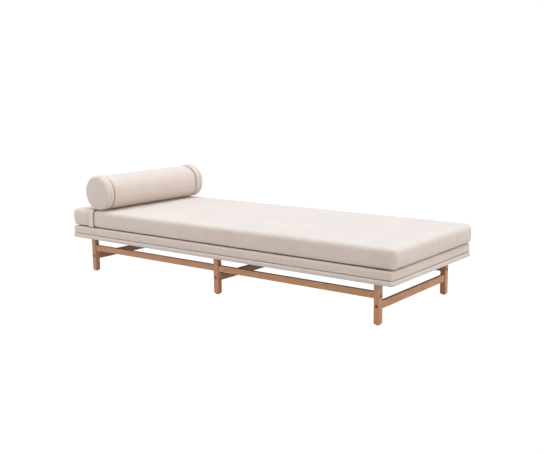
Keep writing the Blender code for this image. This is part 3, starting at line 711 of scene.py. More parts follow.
@dataclass(frozen=True)
class ClothFinish(Finish):
    """Plain-woven upholstery cloth: its light and dark thread colours, pitch and relief.

    A strap's cloth also has painted shade darkening its two edges, near the given distance from its
    middle.
    """

    name: str = "cream_cloth"
    light: tuple[float, float, float] = (0.665, 0.575, 0.515)
    dark: tuple[float, float, float] = (0.57, 0.475, 0.41)
    pitch: float = 0.0013
    relief: float = 0.00022
    slubs: float = 0.12
    painted_edge_shade: float = 0.0

    def fill(self, graph: Graph, shader: bpy.types.Node) -> None:
        """Builds the material's inside."""
        cloth = graph.add("UVMap", uv_map=CLOTH_MAP).outputs[0]
        place = graph.add("TexCoord").outputs["Object"]
        weave = graph.add("Group", node_tree=plain_weave())
        slubs = graph.add("Group", node_tree=thick_threads())
        graph.tree.links.new(cloth, weave.inputs["Cloth"])
        graph.tree.links.new(cloth, slubs.inputs["Cloth"])
        weave.inputs["Pitch"].default_value = self.pitch
        slubs.inputs["Amount"].default_value = self.slubs
        mottle = graph.noise(place, 7.0, 4.0, 0.55)
        mottle = graph.spread(mottle, 0.3, 0.7, 0.0, 0.35)
        shade = graph.maths("MULTIPLY_ADD", weave.outputs["Gap"], 0.55, mottle)
        colour = graph.blend(shade, rgba(self.light), rgba(self.dark))
        paler = tuple(min(1.0, part * 1.08) for part in self.light)
        colour = graph.blend(graph.maths("MULTIPLY", slubs.outputs["Slub"], 0.5), colour, rgba(paler))
        if self.painted_edge_shade:
            # Painted shade: the cloth darkens towards the strap's edges, standing in for the shadow lines
            # beside the strap.
            across = graph.maths("ABSOLUTE", graph.add("SeparateXYZ", {0: cloth}).outputs[0])
            turned = graph.spread(across, self.painted_edge_shade - 0.0022, self.painted_edge_shade - 0.0006, 0.0, 0.85)
            colour = graph.blend(turned, colour, (0.20, 0.155, 0.12, 1.0))
        height = graph.maths("MULTIPLY_ADD", slubs.outputs["Slub"], 0.8, weave.outputs["Height"])
        roughness = graph.spread(weave.outputs["Height"], 0.0, 1.0, 0.98, 0.86)
        link_surface(graph, shader, colour, roughness, height, self.relief)
        shader.inputs["Sheen Weight"].default_value = 0.15
        shader.inputs["Sheen Roughness"].default_value = 0.6
        shader.inputs["Specular IOR Level"].default_value = 0.25


class Run(Enum):
    """The way a piece of wood's length lies, as the turn that brings it to X."""

    ALONG_X = (0.0, 0.0, 0.0)
    ALONG_Y = (0.0, 0.0, math.pi / 2)
    ALONG_Z = (0.0, math.pi / 2, 0.0)


@dataclass(frozen=True)
class WoodFinish(Finish):
    """Solid wood with its grain along the piece: three tones, gloss and relief."""

    run: Run
    pale: tuple[float, float, float] = (0.62, 0.345, 0.19)
    mid: tuple[float, float, float] = (0.52, 0.265, 0.135)
    dark: tuple[float, float, float] = (0.34, 0.15, 0.07)
    roughness: float = 0.48
    relief: float = 0.00012
    shift: float = 0.0

    def fill(self, graph: Graph, shader: bpy.types.Node) -> None:
        """Builds the material's inside."""
        place = graph.add("TexCoord").outputs["Object"]
        shift = (self.shift, self.shift * 0.7, self.shift * 1.3)
        values = {"Vector": place, "Rotation": self.run.value, "Location": shift}
        along = graph.add("Mapping", values).outputs[0]
        grain = graph.add("Group", {0: along}, node_tree=long_grain())
        figure, fibre, pores = (grain.outputs[key] for key in ("Figure", "Fibre", "Pores"))
        colour = graph.blend(graph.spread(figure, 0.25, 0.75, 0.0, 1.0), rgba(self.pale), rgba(self.mid))
        streak = graph.spread(fibre, 0.35, 0.75, 0.0, 0.45)
        colour = graph.blend(streak, colour, rgba(self.dark))
        colour = graph.blend(graph.maths("MULTIPLY", pores, 0.35), colour, rgba(self.dark))
        roughness = graph.spread(fibre, 0.2, 0.8, self.roughness - 0.08, self.roughness + 0.12)
        height = graph.maths("MULTIPLY", graph.maths("SUBTRACT", fibre, pores), 0.6)
        link_surface(graph, shader, colour, roughness, height, self.relief)
        shader.inputs["Specular IOR Level"].default_value = 0.4


@dataclass(frozen=True)
class MetalFinish(Finish):
    """Turned or cast metal with fine machining marks."""

    colour: tuple[float, float, float]
    roughness: float

    def fill(self, graph: Graph, shader: bpy.types.Node) -> None:
        """Builds the material's inside."""
        place = graph.add("TexCoord").outputs["Object"]
        marks = graph.noise(graph.stretched(place, (900.0, 900.0, 900.0)), 1.0, 3.0, 0.6)
        patches = graph.noise(place, 160.0, 3.0, 0.5)
        darker = tuple(part * 0.6 for part in self.colour)
        colour = graph.blend(patches, rgba(self.colour), rgba(darker))
        roughness = graph.spread(marks, 0.3, 0.7, self.roughness - 0.08, self.roughness + 0.12)
        link_surface(graph, shader, colour, roughness, marks, 0.00002)
        shader.inputs["Metallic"].default_value = 1.0


@dataclass(frozen=True)
class GrainyFinish(Finish):
    """A dull material with a fine irregular surface, such as foam, felted cloth or moulded plastic."""

    colour: tuple[float, float, float]
    roughness: float
    cell: float
    relief: float

    def fill(self, graph: Graph, shader: bpy.types.Node) -> None:
        """Builds the material's inside."""
        place = graph.add("TexCoord").outputs["Object"]
        cells = graph.add("TexVoronoi", {"Vector": place, "Scale": 1.0 / self.cell}).outputs[0]
        cloud = graph.noise(place, 0.2 / self.cell, 4.0, 0.6)
        darker = tuple(part * 0.72 for part in self.colour)
        colour = graph.blend(graph.maths("MULTIPLY", cloud, cells), rgba(self.colour), rgba(darker))
        roughness = graph.spread(cloud, 0.3, 0.7, self.roughness - 0.05, self.roughness + 0.05)
        link_surface(graph, shader, colour, roughness, cells, self.relief)


CREAM = ClothFinish()
# The strap's cloth, with painted shade darkening both its edges.
STRAP_CLOTH = ClothFinish(
    "strap_cloth", light=(0.72, 0.63, 0.56), dark=(0.62, 0.53, 0.46), pitch=0.0011, painted_edge_shade=0.020
)
# The band's cloth is the cream cloth painted a little paler, as painted light bounced up from the white
# floor.
FLOOR_LIT_CLOTH = ClothFinish("cream_cloth_painted_floor_light", light=(0.665, 0.59, 0.54), dark=(0.57, 0.49, 0.44))
ZIP_TAPE = ClothFinish("zip_tape", pitch=0.0007, slubs=0.0)
THREAD = GrainyFinish("sewing_thread", (0.60, 0.52, 0.44), 0.75, 0.0006, 0.00004)
DUST_CLOTH = GrainyFinish("dust_cloth", (0.19, 0.17, 0.155), 0.9, 0.0011, 0.0001)
WEBBING = GrainyFinish("elastic_webbing", (0.11, 0.085, 0.065), 0.85, 0.0015, 0.0003)
DARK_PLASTIC = GrainyFinish("glide_plastic", (0.045, 0.036, 0.032), 0.5, 0.0009, 0.00005)
HOOK_TAPE = GrainyFinish("hook_tape", (0.62, 0.56, 0.47), 0.7, 0.0009, 0.0004)
ZIP_TEETH = replace(HOOK_TAPE, name="zip_teeth", roughness=0.4, relief=0.00002)
BLACKENED = MetalFinish("blackened_steel", (0.40, 0.24, 0.165), 0.55)
ZINC = MetalFinish("zinc_plate", (0.56, 0.56, 0.55), 0.34)
OAK = WoodFinish("oak", Run.ALONG_Z)
PINE = WoodFinish("pine", Run.ALONG_X, (0.72, 0.52, 0.30), (0.64, 0.43, 0.23), (0.45, 0.27, 0.12), 0.6)
PLYWOOD = WoodFinish(
    "plywood", Run.ALONG_X, (0.66, 0.48, 0.29), (0.60, 0.41, 0.23), (0.44, 0.28, 0.14), 0.6
)


def dress(obj: bpy.types.Object, material: bpy.types.Material) -> None:
    """Puts one material on all of a piece."""
    obj.data.materials.clear()
    obj.data.materials.append(material)


def dress_node(node: str, finish: Finish) -> None:
    """Gives a frame part its finish in place of the plain one."""
    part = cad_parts[node]
    for place in part.material_slots:
        place.material = finish.material()
    if not part.material_slots:
        part.data.materials.append(finish.material())


def add_piece(
    obj: bpy.types.Object, finish: Finish, body: str,
    replaces: Sequence[str] = (), fill: float | None = None,
) -> None:
    """Dresses a finished piece and hands it to the frame.

    Args:
        obj: The piece.
        finish: Its finish.
        body: The body it moves with.
        replaces: Frame parts that it stands for.
        fill: A number if the piece has padding, or None if it has none; the number's size is not used.
            Padding gets one subdivision, the same in view and render.
    """
    dress(obj, finish.material())
    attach(obj, body)
    if replaces:
        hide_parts(*replaces)
    if fill is not None:
        subdivision = obj.modifiers.new("subdivision", "SUBSURF")
        subdivision.levels = subdivision.render_levels = 1
    LOG.info("%s: %d faces on %s", obj.name, len(obj.data.polygons), body)


# ---------------------------------------------------------------- more surfaces


def tube_faces(rows: int, columns: int) -> tuple[np.ndarray, np.ndarray]:
    """The quads of a tube and the triangles that close its ends.

    Args:
        rows: Number of rings; the two middles' points come after them.
        columns: Number of points in a ring.

    Returns:
        The quads and the triangles.
    """
    here = np.arange(columns)
    after = np.roll(here, -1)
    last = (rows - 1) * columns
    start = np.stack([np.full(columns, rows * columns), after, here], -1)
    end = np.stack([np.full(columns, rows * columns + 1), here + last, after + last], -1)
    return grid_faces(rows, columns, wrap=True), np.concatenate([start, end])


def turned_surface(
    profile: np.ndarray,
    angles: np.ndarray,
    origin: np.ndarray,
    along: np.ndarray,
    first: np.ndarray,
    shape: np.ndarray | None = None,
) -> tuple[np.ndarray, np.ndarray, np.ndarray]:
    """A profile turned round an axis, closed at both ends by a fan to one point.

    A point is the origin, plus the profile's distance along the axis, plus its radius times
    the cosine of the angle in the first direction and the sine in the second.

    Args:
        profile: (m, 2) array of distance along the axis and radius; both ends have radius 0.
        angles: The columns' angles.
        origin: A point of the axis.
        along: The axis's direction.
        first: The direction of angle 0.
        shape: (m, columns) factors for the radius, or None.

    Returns:
        The points, the quads and the triangles.
    """
    second = np.cross(along, first)
    circle = np.cos(angles)[:, None] * first + np.sin(angles)[:, None] * second
    radii = np.broadcast_to(profile[:, 1, None], (len(profile), len(angles)))
    if shape is not None:
        radii = radii * shape
    rings = origin + profile[1:-1, 0, None, None] * along + radii[1:-1, :, None] * circle
    poles = origin + profile[[0, -1], 0, None] * along
    return np.concatenate([rings.reshape(-1, 3), poles]), *tube_faces(*rings.shape[:2])


def swept_solid(
    profile: np.ndarray, path: np.ndarray, out: np.ndarray, side: np.ndarray
) -> tuple[np.ndarray, np.ndarray, np.ndarray]:
    """A profile carried along an open path, closed at both ends by a fan to the section's middle.

    Args:
        profile: (m, 2) array of the closed outline.
        path: (n, 3) array of the path's points.
        out: (n, 3) array of outward directions.
        side: The direction across the path.

    Returns:
        The points, the quads and the triangles.
    """
    body = swept_profile(profile, path, out, side)
    middles = body.reshape(len(path), len(profile), 3)[[0, -1]].mean(axis=1)
    return np.concatenate([body, middles]), *tube_faces(len(path), len(profile))


def disc_lattice(lines: np.ndarray) -> tuple[np.ndarray, np.ndarray, np.ndarray]:
    """A square net laid over the unit disc, so that no ring of triangles is needed in its middle.

    Each square ring of the net becomes a circle: its half side is the radius, and the way along
    its side, from -1 to 1, is an eighth of a turn each way.

    Args:
        lines: The net's lines from -1 to 1, used in both directions.

    Returns:
        (n, 2) array of places in the disc, the quads, and the rim's point numbers in order.
    """
    count = len(lines)
    u, v = np.meshgrid(lines, lines, indexing="ij")
    wide = np.abs(u) >= np.abs(v)
    main, other = np.where(wide, u, v), np.where(wide, v, u)
    turn = math.pi / 4 * other / np.where(main == 0, 1.0, main)
    first, second = main * np.cos(turn), main * np.sin(turn)
    disc = np.stack([np.where(wide, first, second), np.where(wide, second, first)], -1).reshape(-1, 2)
    ids = np.arange(count * count).reshape(count, count)
    rim = np.concatenate([ids[0, :-1], ids[:-1, -1], ids[-1, :0:-1], ids[:0:-1, 0]])
    return disc, grid_faces(count, count), rim


def bevelled_blocks(
    centres: np.ndarray, along: np.ndarray, across: np.ndarray, out: np.ndarray, size: Sequence[float]
) -> tuple[np.ndarray, np.ndarray]:
    """Many small blocks with a narrower top, for stitches, staples and zip teeth.

    Args:
        centres: (k, 3) array of the middle of each block's foot.
        along, across, out: (k, 3) arrays or single directions of its length, width and height.
        size: Length, width and height.

    Returns:
        The points and the quads of all of them; each block has 12 points and 10 faces.
    """
    square = np.array([(-0.5, -0.5), (0.5, -0.5), (0.5, 0.5), (-0.5, 0.5)])
    levels = np.array([(1.0, 0.0), (1.0, 0.6), (0.72, 1.0)])
    base = np.array([(*(corner * scale), height) for scale, height in levels for corner in square])
    base = base * np.asarray(size, float)
    along, across, out = (np.broadcast_to(part, centres.shape) for part in (along, across, out))
    turned = np.stack([along, across, out], 1)
    points = (centres[:, None, :] + np.einsum("pj,kji->kpi", base, turned)).reshape(-1, 3)
    walls = grid_faces(3, 4, wrap=True)
    caps = np.array([(3, 2, 1, 0), (8, 9, 10, 11)])
    block = np.concatenate([walls, caps])
    steps = np.arange(len(centres))[:, None, None] * len(base)
    return points, (block[None] + steps).reshape(-1, 4)


def outline_path(
    half_x: float, half_y: float, corner: float, step: float
) -> tuple[np.ndarray, np.ndarray]:
    """A rectangle with round corners, walked once round.

    Args:
        half_x, half_y: Its half sizes.
        corner: The corners' radius.
        step: Wanted distance between points on the straight parts.

    Returns:
        (n, 2) arrays of the points and of the outward directions there.
    """
    turn = np.radians(np.linspace(0, 90, 9))
    points, out = [], []
    spans = ((half_y - corner) * 2, (half_x - corner) * 2)
    for quarter, (sign_x, sign_y) in enumerate(((1, 1), (-1, 1), (-1, -1), (1, -1))):
        angle = turn + quarter * math.pi / 2
        centre = np.array([sign_x * (half_x - corner), sign_y * (half_y - corner)])
        direction = np.stack([np.cos(angle), np.sin(angle)], -1)
        points.append(centre + corner * direction)
        out.append(direction)
        length = spans[(quarter + 1) % 2]
        count = max(2, round(length / step))
        share = np.arange(1, count)[:, None] / count
        ahead = np.array([-direction[-1, 1], direction[-1, 0]])
        points.append(points[-1][-1] + share * length * ahead)
        out.append(np.broadcast_to(direction[-1], (count - 1, 2)))
    return np.concatenate(points), np.concatenate(out)


def path_lengths(path: np.ndarray) -> np.ndarray:
    """How far along a path each of its points lies."""
    steps = np.linalg.norm(np.diff(path, axis=0), axis=1)
    return np.concatenate([[0.0], np.cumsum(steps)])


def along_path(path: np.ndarray, values: np.ndarray, places: np.ndarray) -> np.ndarray:
    """Values given at a path's points, read at other distances along it."""
    known = path_lengths(path)
    return np.stack([np.interp(places, known, column) for column in values.T], -1)


# ---------------------------------------------------------------- the stand


@dataclass
class Stand:
    """Six square oak legs, their rails, the socket-head screws and the glides."""

    sides_turned: int = 40
    head_radius: float = 0.0064
    head_height: float = 0.0055
    socket_radius: float = 0.0032
    socket_depth: float = 0.0030
    shank_radius: float = 0.0030
    cuts: int = 0
    cut_shift: float = 0.37

    def build(self) -> None:
        """Dresses the wood and makes the turned metal and plastic."""
        for side, _ in SIDES:
            for station in STATIONS:
                self.dress_wood(f"leg_{side}_{station}", Run.ALONG_Z)
                dress_node(f"deck_stud_{side}_{station}", ZINC)
                self.add_glide(side, station)
                self.add_screw(f"cross_bolt_{side}_{station}", 1)
            for end in ENDS:
                self.dress_wood(f"long_rail_{side}_{end}", Run.ALONG_X)
                self.add_screw(f"long_bolt_{side}_{end}", 0)
        for station in STATIONS:
            self.dress_wood(f"cross_rail_{station}", Run.ALONG_Y)

    def dress_wood(self, node: str, run: Run) -> None:
        """Gives a frame part oak of its own, cut from another place than the last one's."""
        self.cuts += 1
        dress_node(node, replace(OAK, name=f"oak_{node}", run=run, shift=self.cuts * self.cut_shift))

    def add_screw(self, node: str, axis: int) -> None:
        """Turns a socket-head screw in the place of a frame part.

        The head's socket is six-sided: its radius is the flat's distance over the cosine of the
        angle from the middle of the nearest flat.

        Args:
            node: The frame part.
            axis: 0 if it lies along X, 1 if along Y.
        """
        low, high = frame_box(node)
        middle = (low + high) / 2
        outward = 1.0 if middle[axis] > 0 else -1.0
        inward = np.zeros(3)
        inward[axis] = -outward
        origin = middle.copy()
        origin[axis] = high[axis] if outward > 0 else low[axis]
        length = high[axis] - low[axis]
        rim = 0.0006
        profile = np.array([
            (self.socket_depth, 0.0),
            (self.socket_depth, self.socket_radius * 0.97),
            (0.0003, self.socket_radius),
            (0.0, self.socket_radius + 0.0004),
            (0.0, self.head_radius - rim),
            (rim * 0.3, self.head_radius - rim * 0.3),
            (rim, self.head_radius),
            (self.head_height - 0.0002, self.head_radius),
            (self.head_height, self.head_radius - 0.0003),
            (self.head_height, self.shank_radius),
            (length - 0.001, self.shank_radius),
            (length, self.shank_radius - 0.001),
            (length, 0.0),
        ])
        angles = np.arange(self.sides_turned) * 2 * math.pi / self.sides_turned
        flat = np.cos(math.pi / 6) / np.cos(np.mod(angles, math.pi / 3) - math.pi / 6)
        shape = np.ones((len(profile), len(angles)))
        shape[1:4] = flat
        points, *faces = turned_surface(profile, angles, origin, inward, Z_AXIS, shape)
        screw = make_mesh(f"screw_{node}", points, *faces)
        mark_sharp(screw, 35)
        add_piece(screw, BLACKENED, "base", [node])

    def add_glide(self, side: str, station: str) -> None:
        """Turns a nail-on glide: a low disc with a rounded rim, a dished sole and its pin."""
        node = f"glide_{side}_{station}"
        low, high = frame_box(node)
        radius, height = (high[1] - low[1]) / 2 + 0.0003, 0.0037
        pin, length = 0.0015, high[2] - low[2]
        turn = np.radians(np.linspace(-90, 0, 5))
        rim = np.stack([0.0012 + 0.0012 * np.sin(turn), radius - 0.0012 + 0.0012 * np.cos(turn)], -1)
        profile = np.concatenate([
            [(0.0004, 0.0), (0.0004, radius - 0.0035), (0.0, radius - 0.0028)], rim,
            [(height - 0.0004, radius), (height, radius - 0.0004)],
            [(height, pin), (length - 0.002, pin), (length, 0.0)],
        ])
        angles = np.arange(self.sides_turned) * 2 * math.pi / self.sides_turned
        origin = np.array([(low[0] + high[0]) / 2, (low[1] + high[1]) / 2, low[2]])
        points, *faces = turned_surface(profile, angles, origin, Z_AXIS, X_AXIS)
        glide = make_mesh(f"nail_glide_{side}_{station}", points, *faces)
        mark_sharp(glide, 50)
        add_piece(glide, DARK_PLASTIC, "base", [node])


def mark_sharp(obj: bpy.types.Object, degrees: float) -> None:
    """Keeps the edges sharper than the angle crisp under smooth shading."""
    obj.data.set_sharp_from_angle(angle=math.radians(degrees))


# ---------------------------------------------------------------- the deck


@dataclass
class Deck:
    """The platform: a padded edge band under a padded cover, with the dust cloth below."""

    band_edge: float = 0.0055
    band_flange: float = 0.029
    band_fold: float = 0.018
    band_inset: float = 0.0045
    band_cloth: float = 0.0017
    band_crown: float = 0.0012
    band_step: float = 0.010
    pad_corner: float = 0.011
    pad_upper_edge: float = 0.010
    pad_lower_edge: float = 0.003
    pad_drop: float = 0.0006
    pad_step: float = 0.0145
    staple_pitch: float = 0.048

    def build(self) -> None:
        """Makes the band, the pad and the staples, and dresses what is under them."""
        self.add_band()
        self.add_pad()
        self.add_staples()
        dress_node("deck_board", PLYWOOD)
        for end in ENDS:
            wood = replace(PINE, name=f"pine_cross_{end}", run=Run.ALONG_Y)
            dress_node(f"deck_rail_{end}", wood)
            dress_node(f"deck_crossbar_{end}", wood)
        for side, _ in SIDES:
            dress_node(f"deck_rail_{side}", PINE)
        dress_node("deck_webbing", WEBBING)
        dress_node("deck_dust_cover", DUST_CLOTH)

    def band_profile(self, height: float) -> np.ndarray:
        """The band's section: the outside with two round edges and a slight crown, the turn-ins,
        and the inside a cloth's thickness away.

        Args:
            height: The band's height.

        Returns:
            (m, 2) array: height above the band's bottom, and distance out from the deck's edge.
        """
        edge = self.band_edge
        low, high = np.radians(np.linspace(-90, 0, 7)), np.radians(np.linspace(0, 90, 7))
        lower = np.stack([edge + edge * np.sin(low), edge * (np.cos(low) - 1)], -1)
        upper = np.stack([height - edge + edge * np.sin(high), edge * (np.cos(high) - 1)], -1)
        outside = np.concatenate([lower, upper])
        share = np.clip(outside[:, 0] / height, 0, 1)
        outside[:, 1] += self.band_crown * np.sin(math.pi * share) ** 2 - self.band_crown
        cloth = self.band_cloth
        fold, flange, inset = -self.band_fold, -self.band_flange, -self.band_inset
        inside = np.array([
            (height, fold), (height, flange), (height - cloth, flange), (height - cloth, inset),
            (cloth, inset), (cloth, flange), (0.0, flange), (0.0, fold),
        ])
        return np.concatenate([outside, inside])

    def add_band(self) -> None:
        """Carries the band's section round the deck, with slight waves where the cloth gives."""
        low, high = frame_box("deck_band_cover")
        profile = self.band_profile(high[2] - low[2])
        flat, out = outline_path(high[0], high[1], 0.014, self.band_step)
        path = np.column_stack([flat, np.full(len(flat), low[2])])
        out = np.column_stack([out, np.zeros(len(out))])
        points = swept_profile(profile, path, out, Z_AXIS)
        on_face = np.tile(bell(profile[:, 0] - 0.0107, 0.007) * (profile[:, 1] > -0.004), len(path))
        wave = 0.5 * smooth_noise(points, 0.09, 11) + 0.3 * smooth_noise(points, 0.028, 12)
        shift = 0.0005 * wave * on_face
        points += shift[:, None] * np.repeat(out, len(profile), axis=0)
        faces = grid_faces(len(path), len(profile), wrap=True)
        closing = grid_faces(2, len(profile), wrap=True)
        last = (len(path) - 1) * len(profile)
        closing = np.where(closing < len(profile), closing + last, closing - len(profile))
        band = make_mesh("band_roll", points, faces, closing)
        around = np.concatenate([path_lengths(flat), [0.0]])
        columns = np.concatenate([[0.0], np.cumsum(np.linalg.norm(np.diff(profile, axis=0), axis=1))])
        at = corner_vertices(band.data)
        set_cloth_map(band, np.stack([around[:-1][at // len(profile)], columns[at % len(profile)]], -1))
        # The band wears the paler copy of the cream cloth, with painted floor light.
        add_piece(band, FLOOR_LIT_CLOTH, "base", ["deck_band_cover"], 0.8)

    def add_pad(self) -> None:
        """Fills the deck's padded cover and presses in its small side tucks."""
        low, high = frame_box("deck_cover")
        slab = SoftSlab(
            high[0], high[1], low[2] - self.pad_drop, high[2],
            self.pad_corner, self.pad_upper_edge, self.pad_lower_edge,
        )
        beside = np.array([0.0035, 0.0075, 0.0120])
        keep_x = np.concatenate([beside - slab.half_x, slab.half_x - beside])
        keep_y = np.concatenate([beside - slab.half_y, slab.half_y - beside])
        keep_z = np.linspace(slab.bottom, slab.top, 9)[1:-1]
        points, faces = slab.shrunk(0.0002).surface(self.pad_step, keep_x, keep_y, keep_z)
        pad = make_mesh("deck_pad", points, faces)
        Stuffing(cap=0.0012, give=0.0002).fill(pad)
        points = slab.held_inside(read_points(pad.data), 0.0001)
        points[:, 0] = np.clip(points[:, 0], -slab.half_x, slab.half_x)
        normals = vertex_normals(pad.data)
        wave = uneven(points, 0.11, 0.035, 21)
        points -= normals * (0.0004 + 0.0004 * wave)[:, None]
        write_points(pad.data, points)
        map_by_panels(pad)
        add_piece(pad, CREAM, "base", ["deck_cover", "deck_foam"], 0.8)

    def add_staples(self) -> None:
        """Drives staples through the band's lower turn-in and the edge of the dust cloth."""
        low, high = frame_box("deck_dust_cover")
        flat, out = outline_path(high[0] - 0.006, high[1] - 0.006, 0.010, self.staple_pitch)
        random = np.random.default_rng(31)
        tilt = random.normal(0, 0.10, len(flat))
        ahead = np.stack([-out[:, 1], out[:, 0]], -1)
        along = ahead * np.cos(tilt)[:, None] + out * np.sin(tilt)[:, None]
        along = np.column_stack([along, np.zeros(len(along))])
        across = np.column_stack([-along[:, 1], along[:, 0], np.zeros(len(along))])
        centres = np.column_stack([flat, np.full(len(flat), low[2])])
        size = (0.010, 0.0009, 0.0003)
        points, faces = bevelled_blocks(centres, along, across, -Z_AXIS, size)
        staples = make_mesh("dust_cloth_staples", points, faces)
        mark_sharp(staples, 30)
        add_piece(staples, ZINC, "base")


# ---------------------------------------------------------------- zips


@dataclass(frozen=True)
class ZipRun:
    """A closed zip: two tapes and their meshed teeth, lying in a slot.

    The place is the middle of the slot's floor; length runs along, width across, height out.
    """

    name: str
    node: str
    body: str
    place: np.ndarray
    along: np.ndarray
    across: np.ndarray
    out: np.ndarray
    half_length: float = 0.2995
    half_width: float = 0.0066
    tape: float = 0.0010
    pitch: float = 0.0025

    def build(self) -> None:
        """Makes the tapes and the teeth."""
        ends = np.linspace(-self.half_length, self.half_length, 61)
        inner = 0.0002
        width = self.half_width - inner
        profile = ribbon_profile(width, self.tape, 4)
        path = self.place + ends[:, None] * self.along
        out = np.broadcast_to(self.out, path.shape)
        parts = [
            swept_solid(profile, path + side * (inner + width / 2) * self.across, out, self.across)
            for side in (-1, 1)
        ]
        count = len(parts[0][0])
        points = np.concatenate([parts[0][0], parts[1][0]])
        quads = np.concatenate([parts[0][1], parts[1][1] + count])
        fans = np.concatenate([parts[0][2], parts[1][2] + count])
        tapes = make_mesh(f"{self.name}_tapes", points, quads, fans)
        at = read_points(tapes.data)[corner_vertices(tapes.data)] - self.place
        set_cloth_map(tapes, np.stack([at @ self.along, at @ self.across], -1))
        add_piece(tapes, ZIP_TAPE, self.body, [self.node])
        steps = np.arange(-self.half_length + 0.004, self.half_length - 0.004, self.pitch / 2)
        lean = np.where(np.arange(len(steps)) % 2, 0.0007, -0.0007)
        centres = self.place + steps[:, None] * self.along + lean[:, None] * self.across
        centres = centres + self.tape * 0.9 * self.out
        size = (self.pitch * 0.40, 0.0032, 0.0012)
        points, faces = bevelled_blocks(centres, self.along, self.across, self.out, size)
        teeth = make_mesh(f"{self.name}_teeth", points, faces)
        mark_sharp(teeth, 30)
        add_piece(teeth, ZIP_TEETH, self.body)


def slot_share(off: np.ndarray, half_width: float, y: np.ndarray) -> np.ndarray:
    """How far a zip's slot takes each point down, 0 to 1, with steep round lips on all sides.

    Args:
        off: The points' distances from the zip's middle line.
        half_width: The slot's half width.
        y: Their places along the zip.

    Returns:
        One share for each point.
    """
    half_length, end_lip, side_lip = 0.3035, 0.005, 0.0022
    along = np.clip((half_length - np.abs(y)) / end_lip, 0, 1)
    share = np.clip((half_width - off) / side_lip, 0, 1) * along
    return share * share * (3 - 2 * share)


# ---------------------------------------------------------------- the mattress


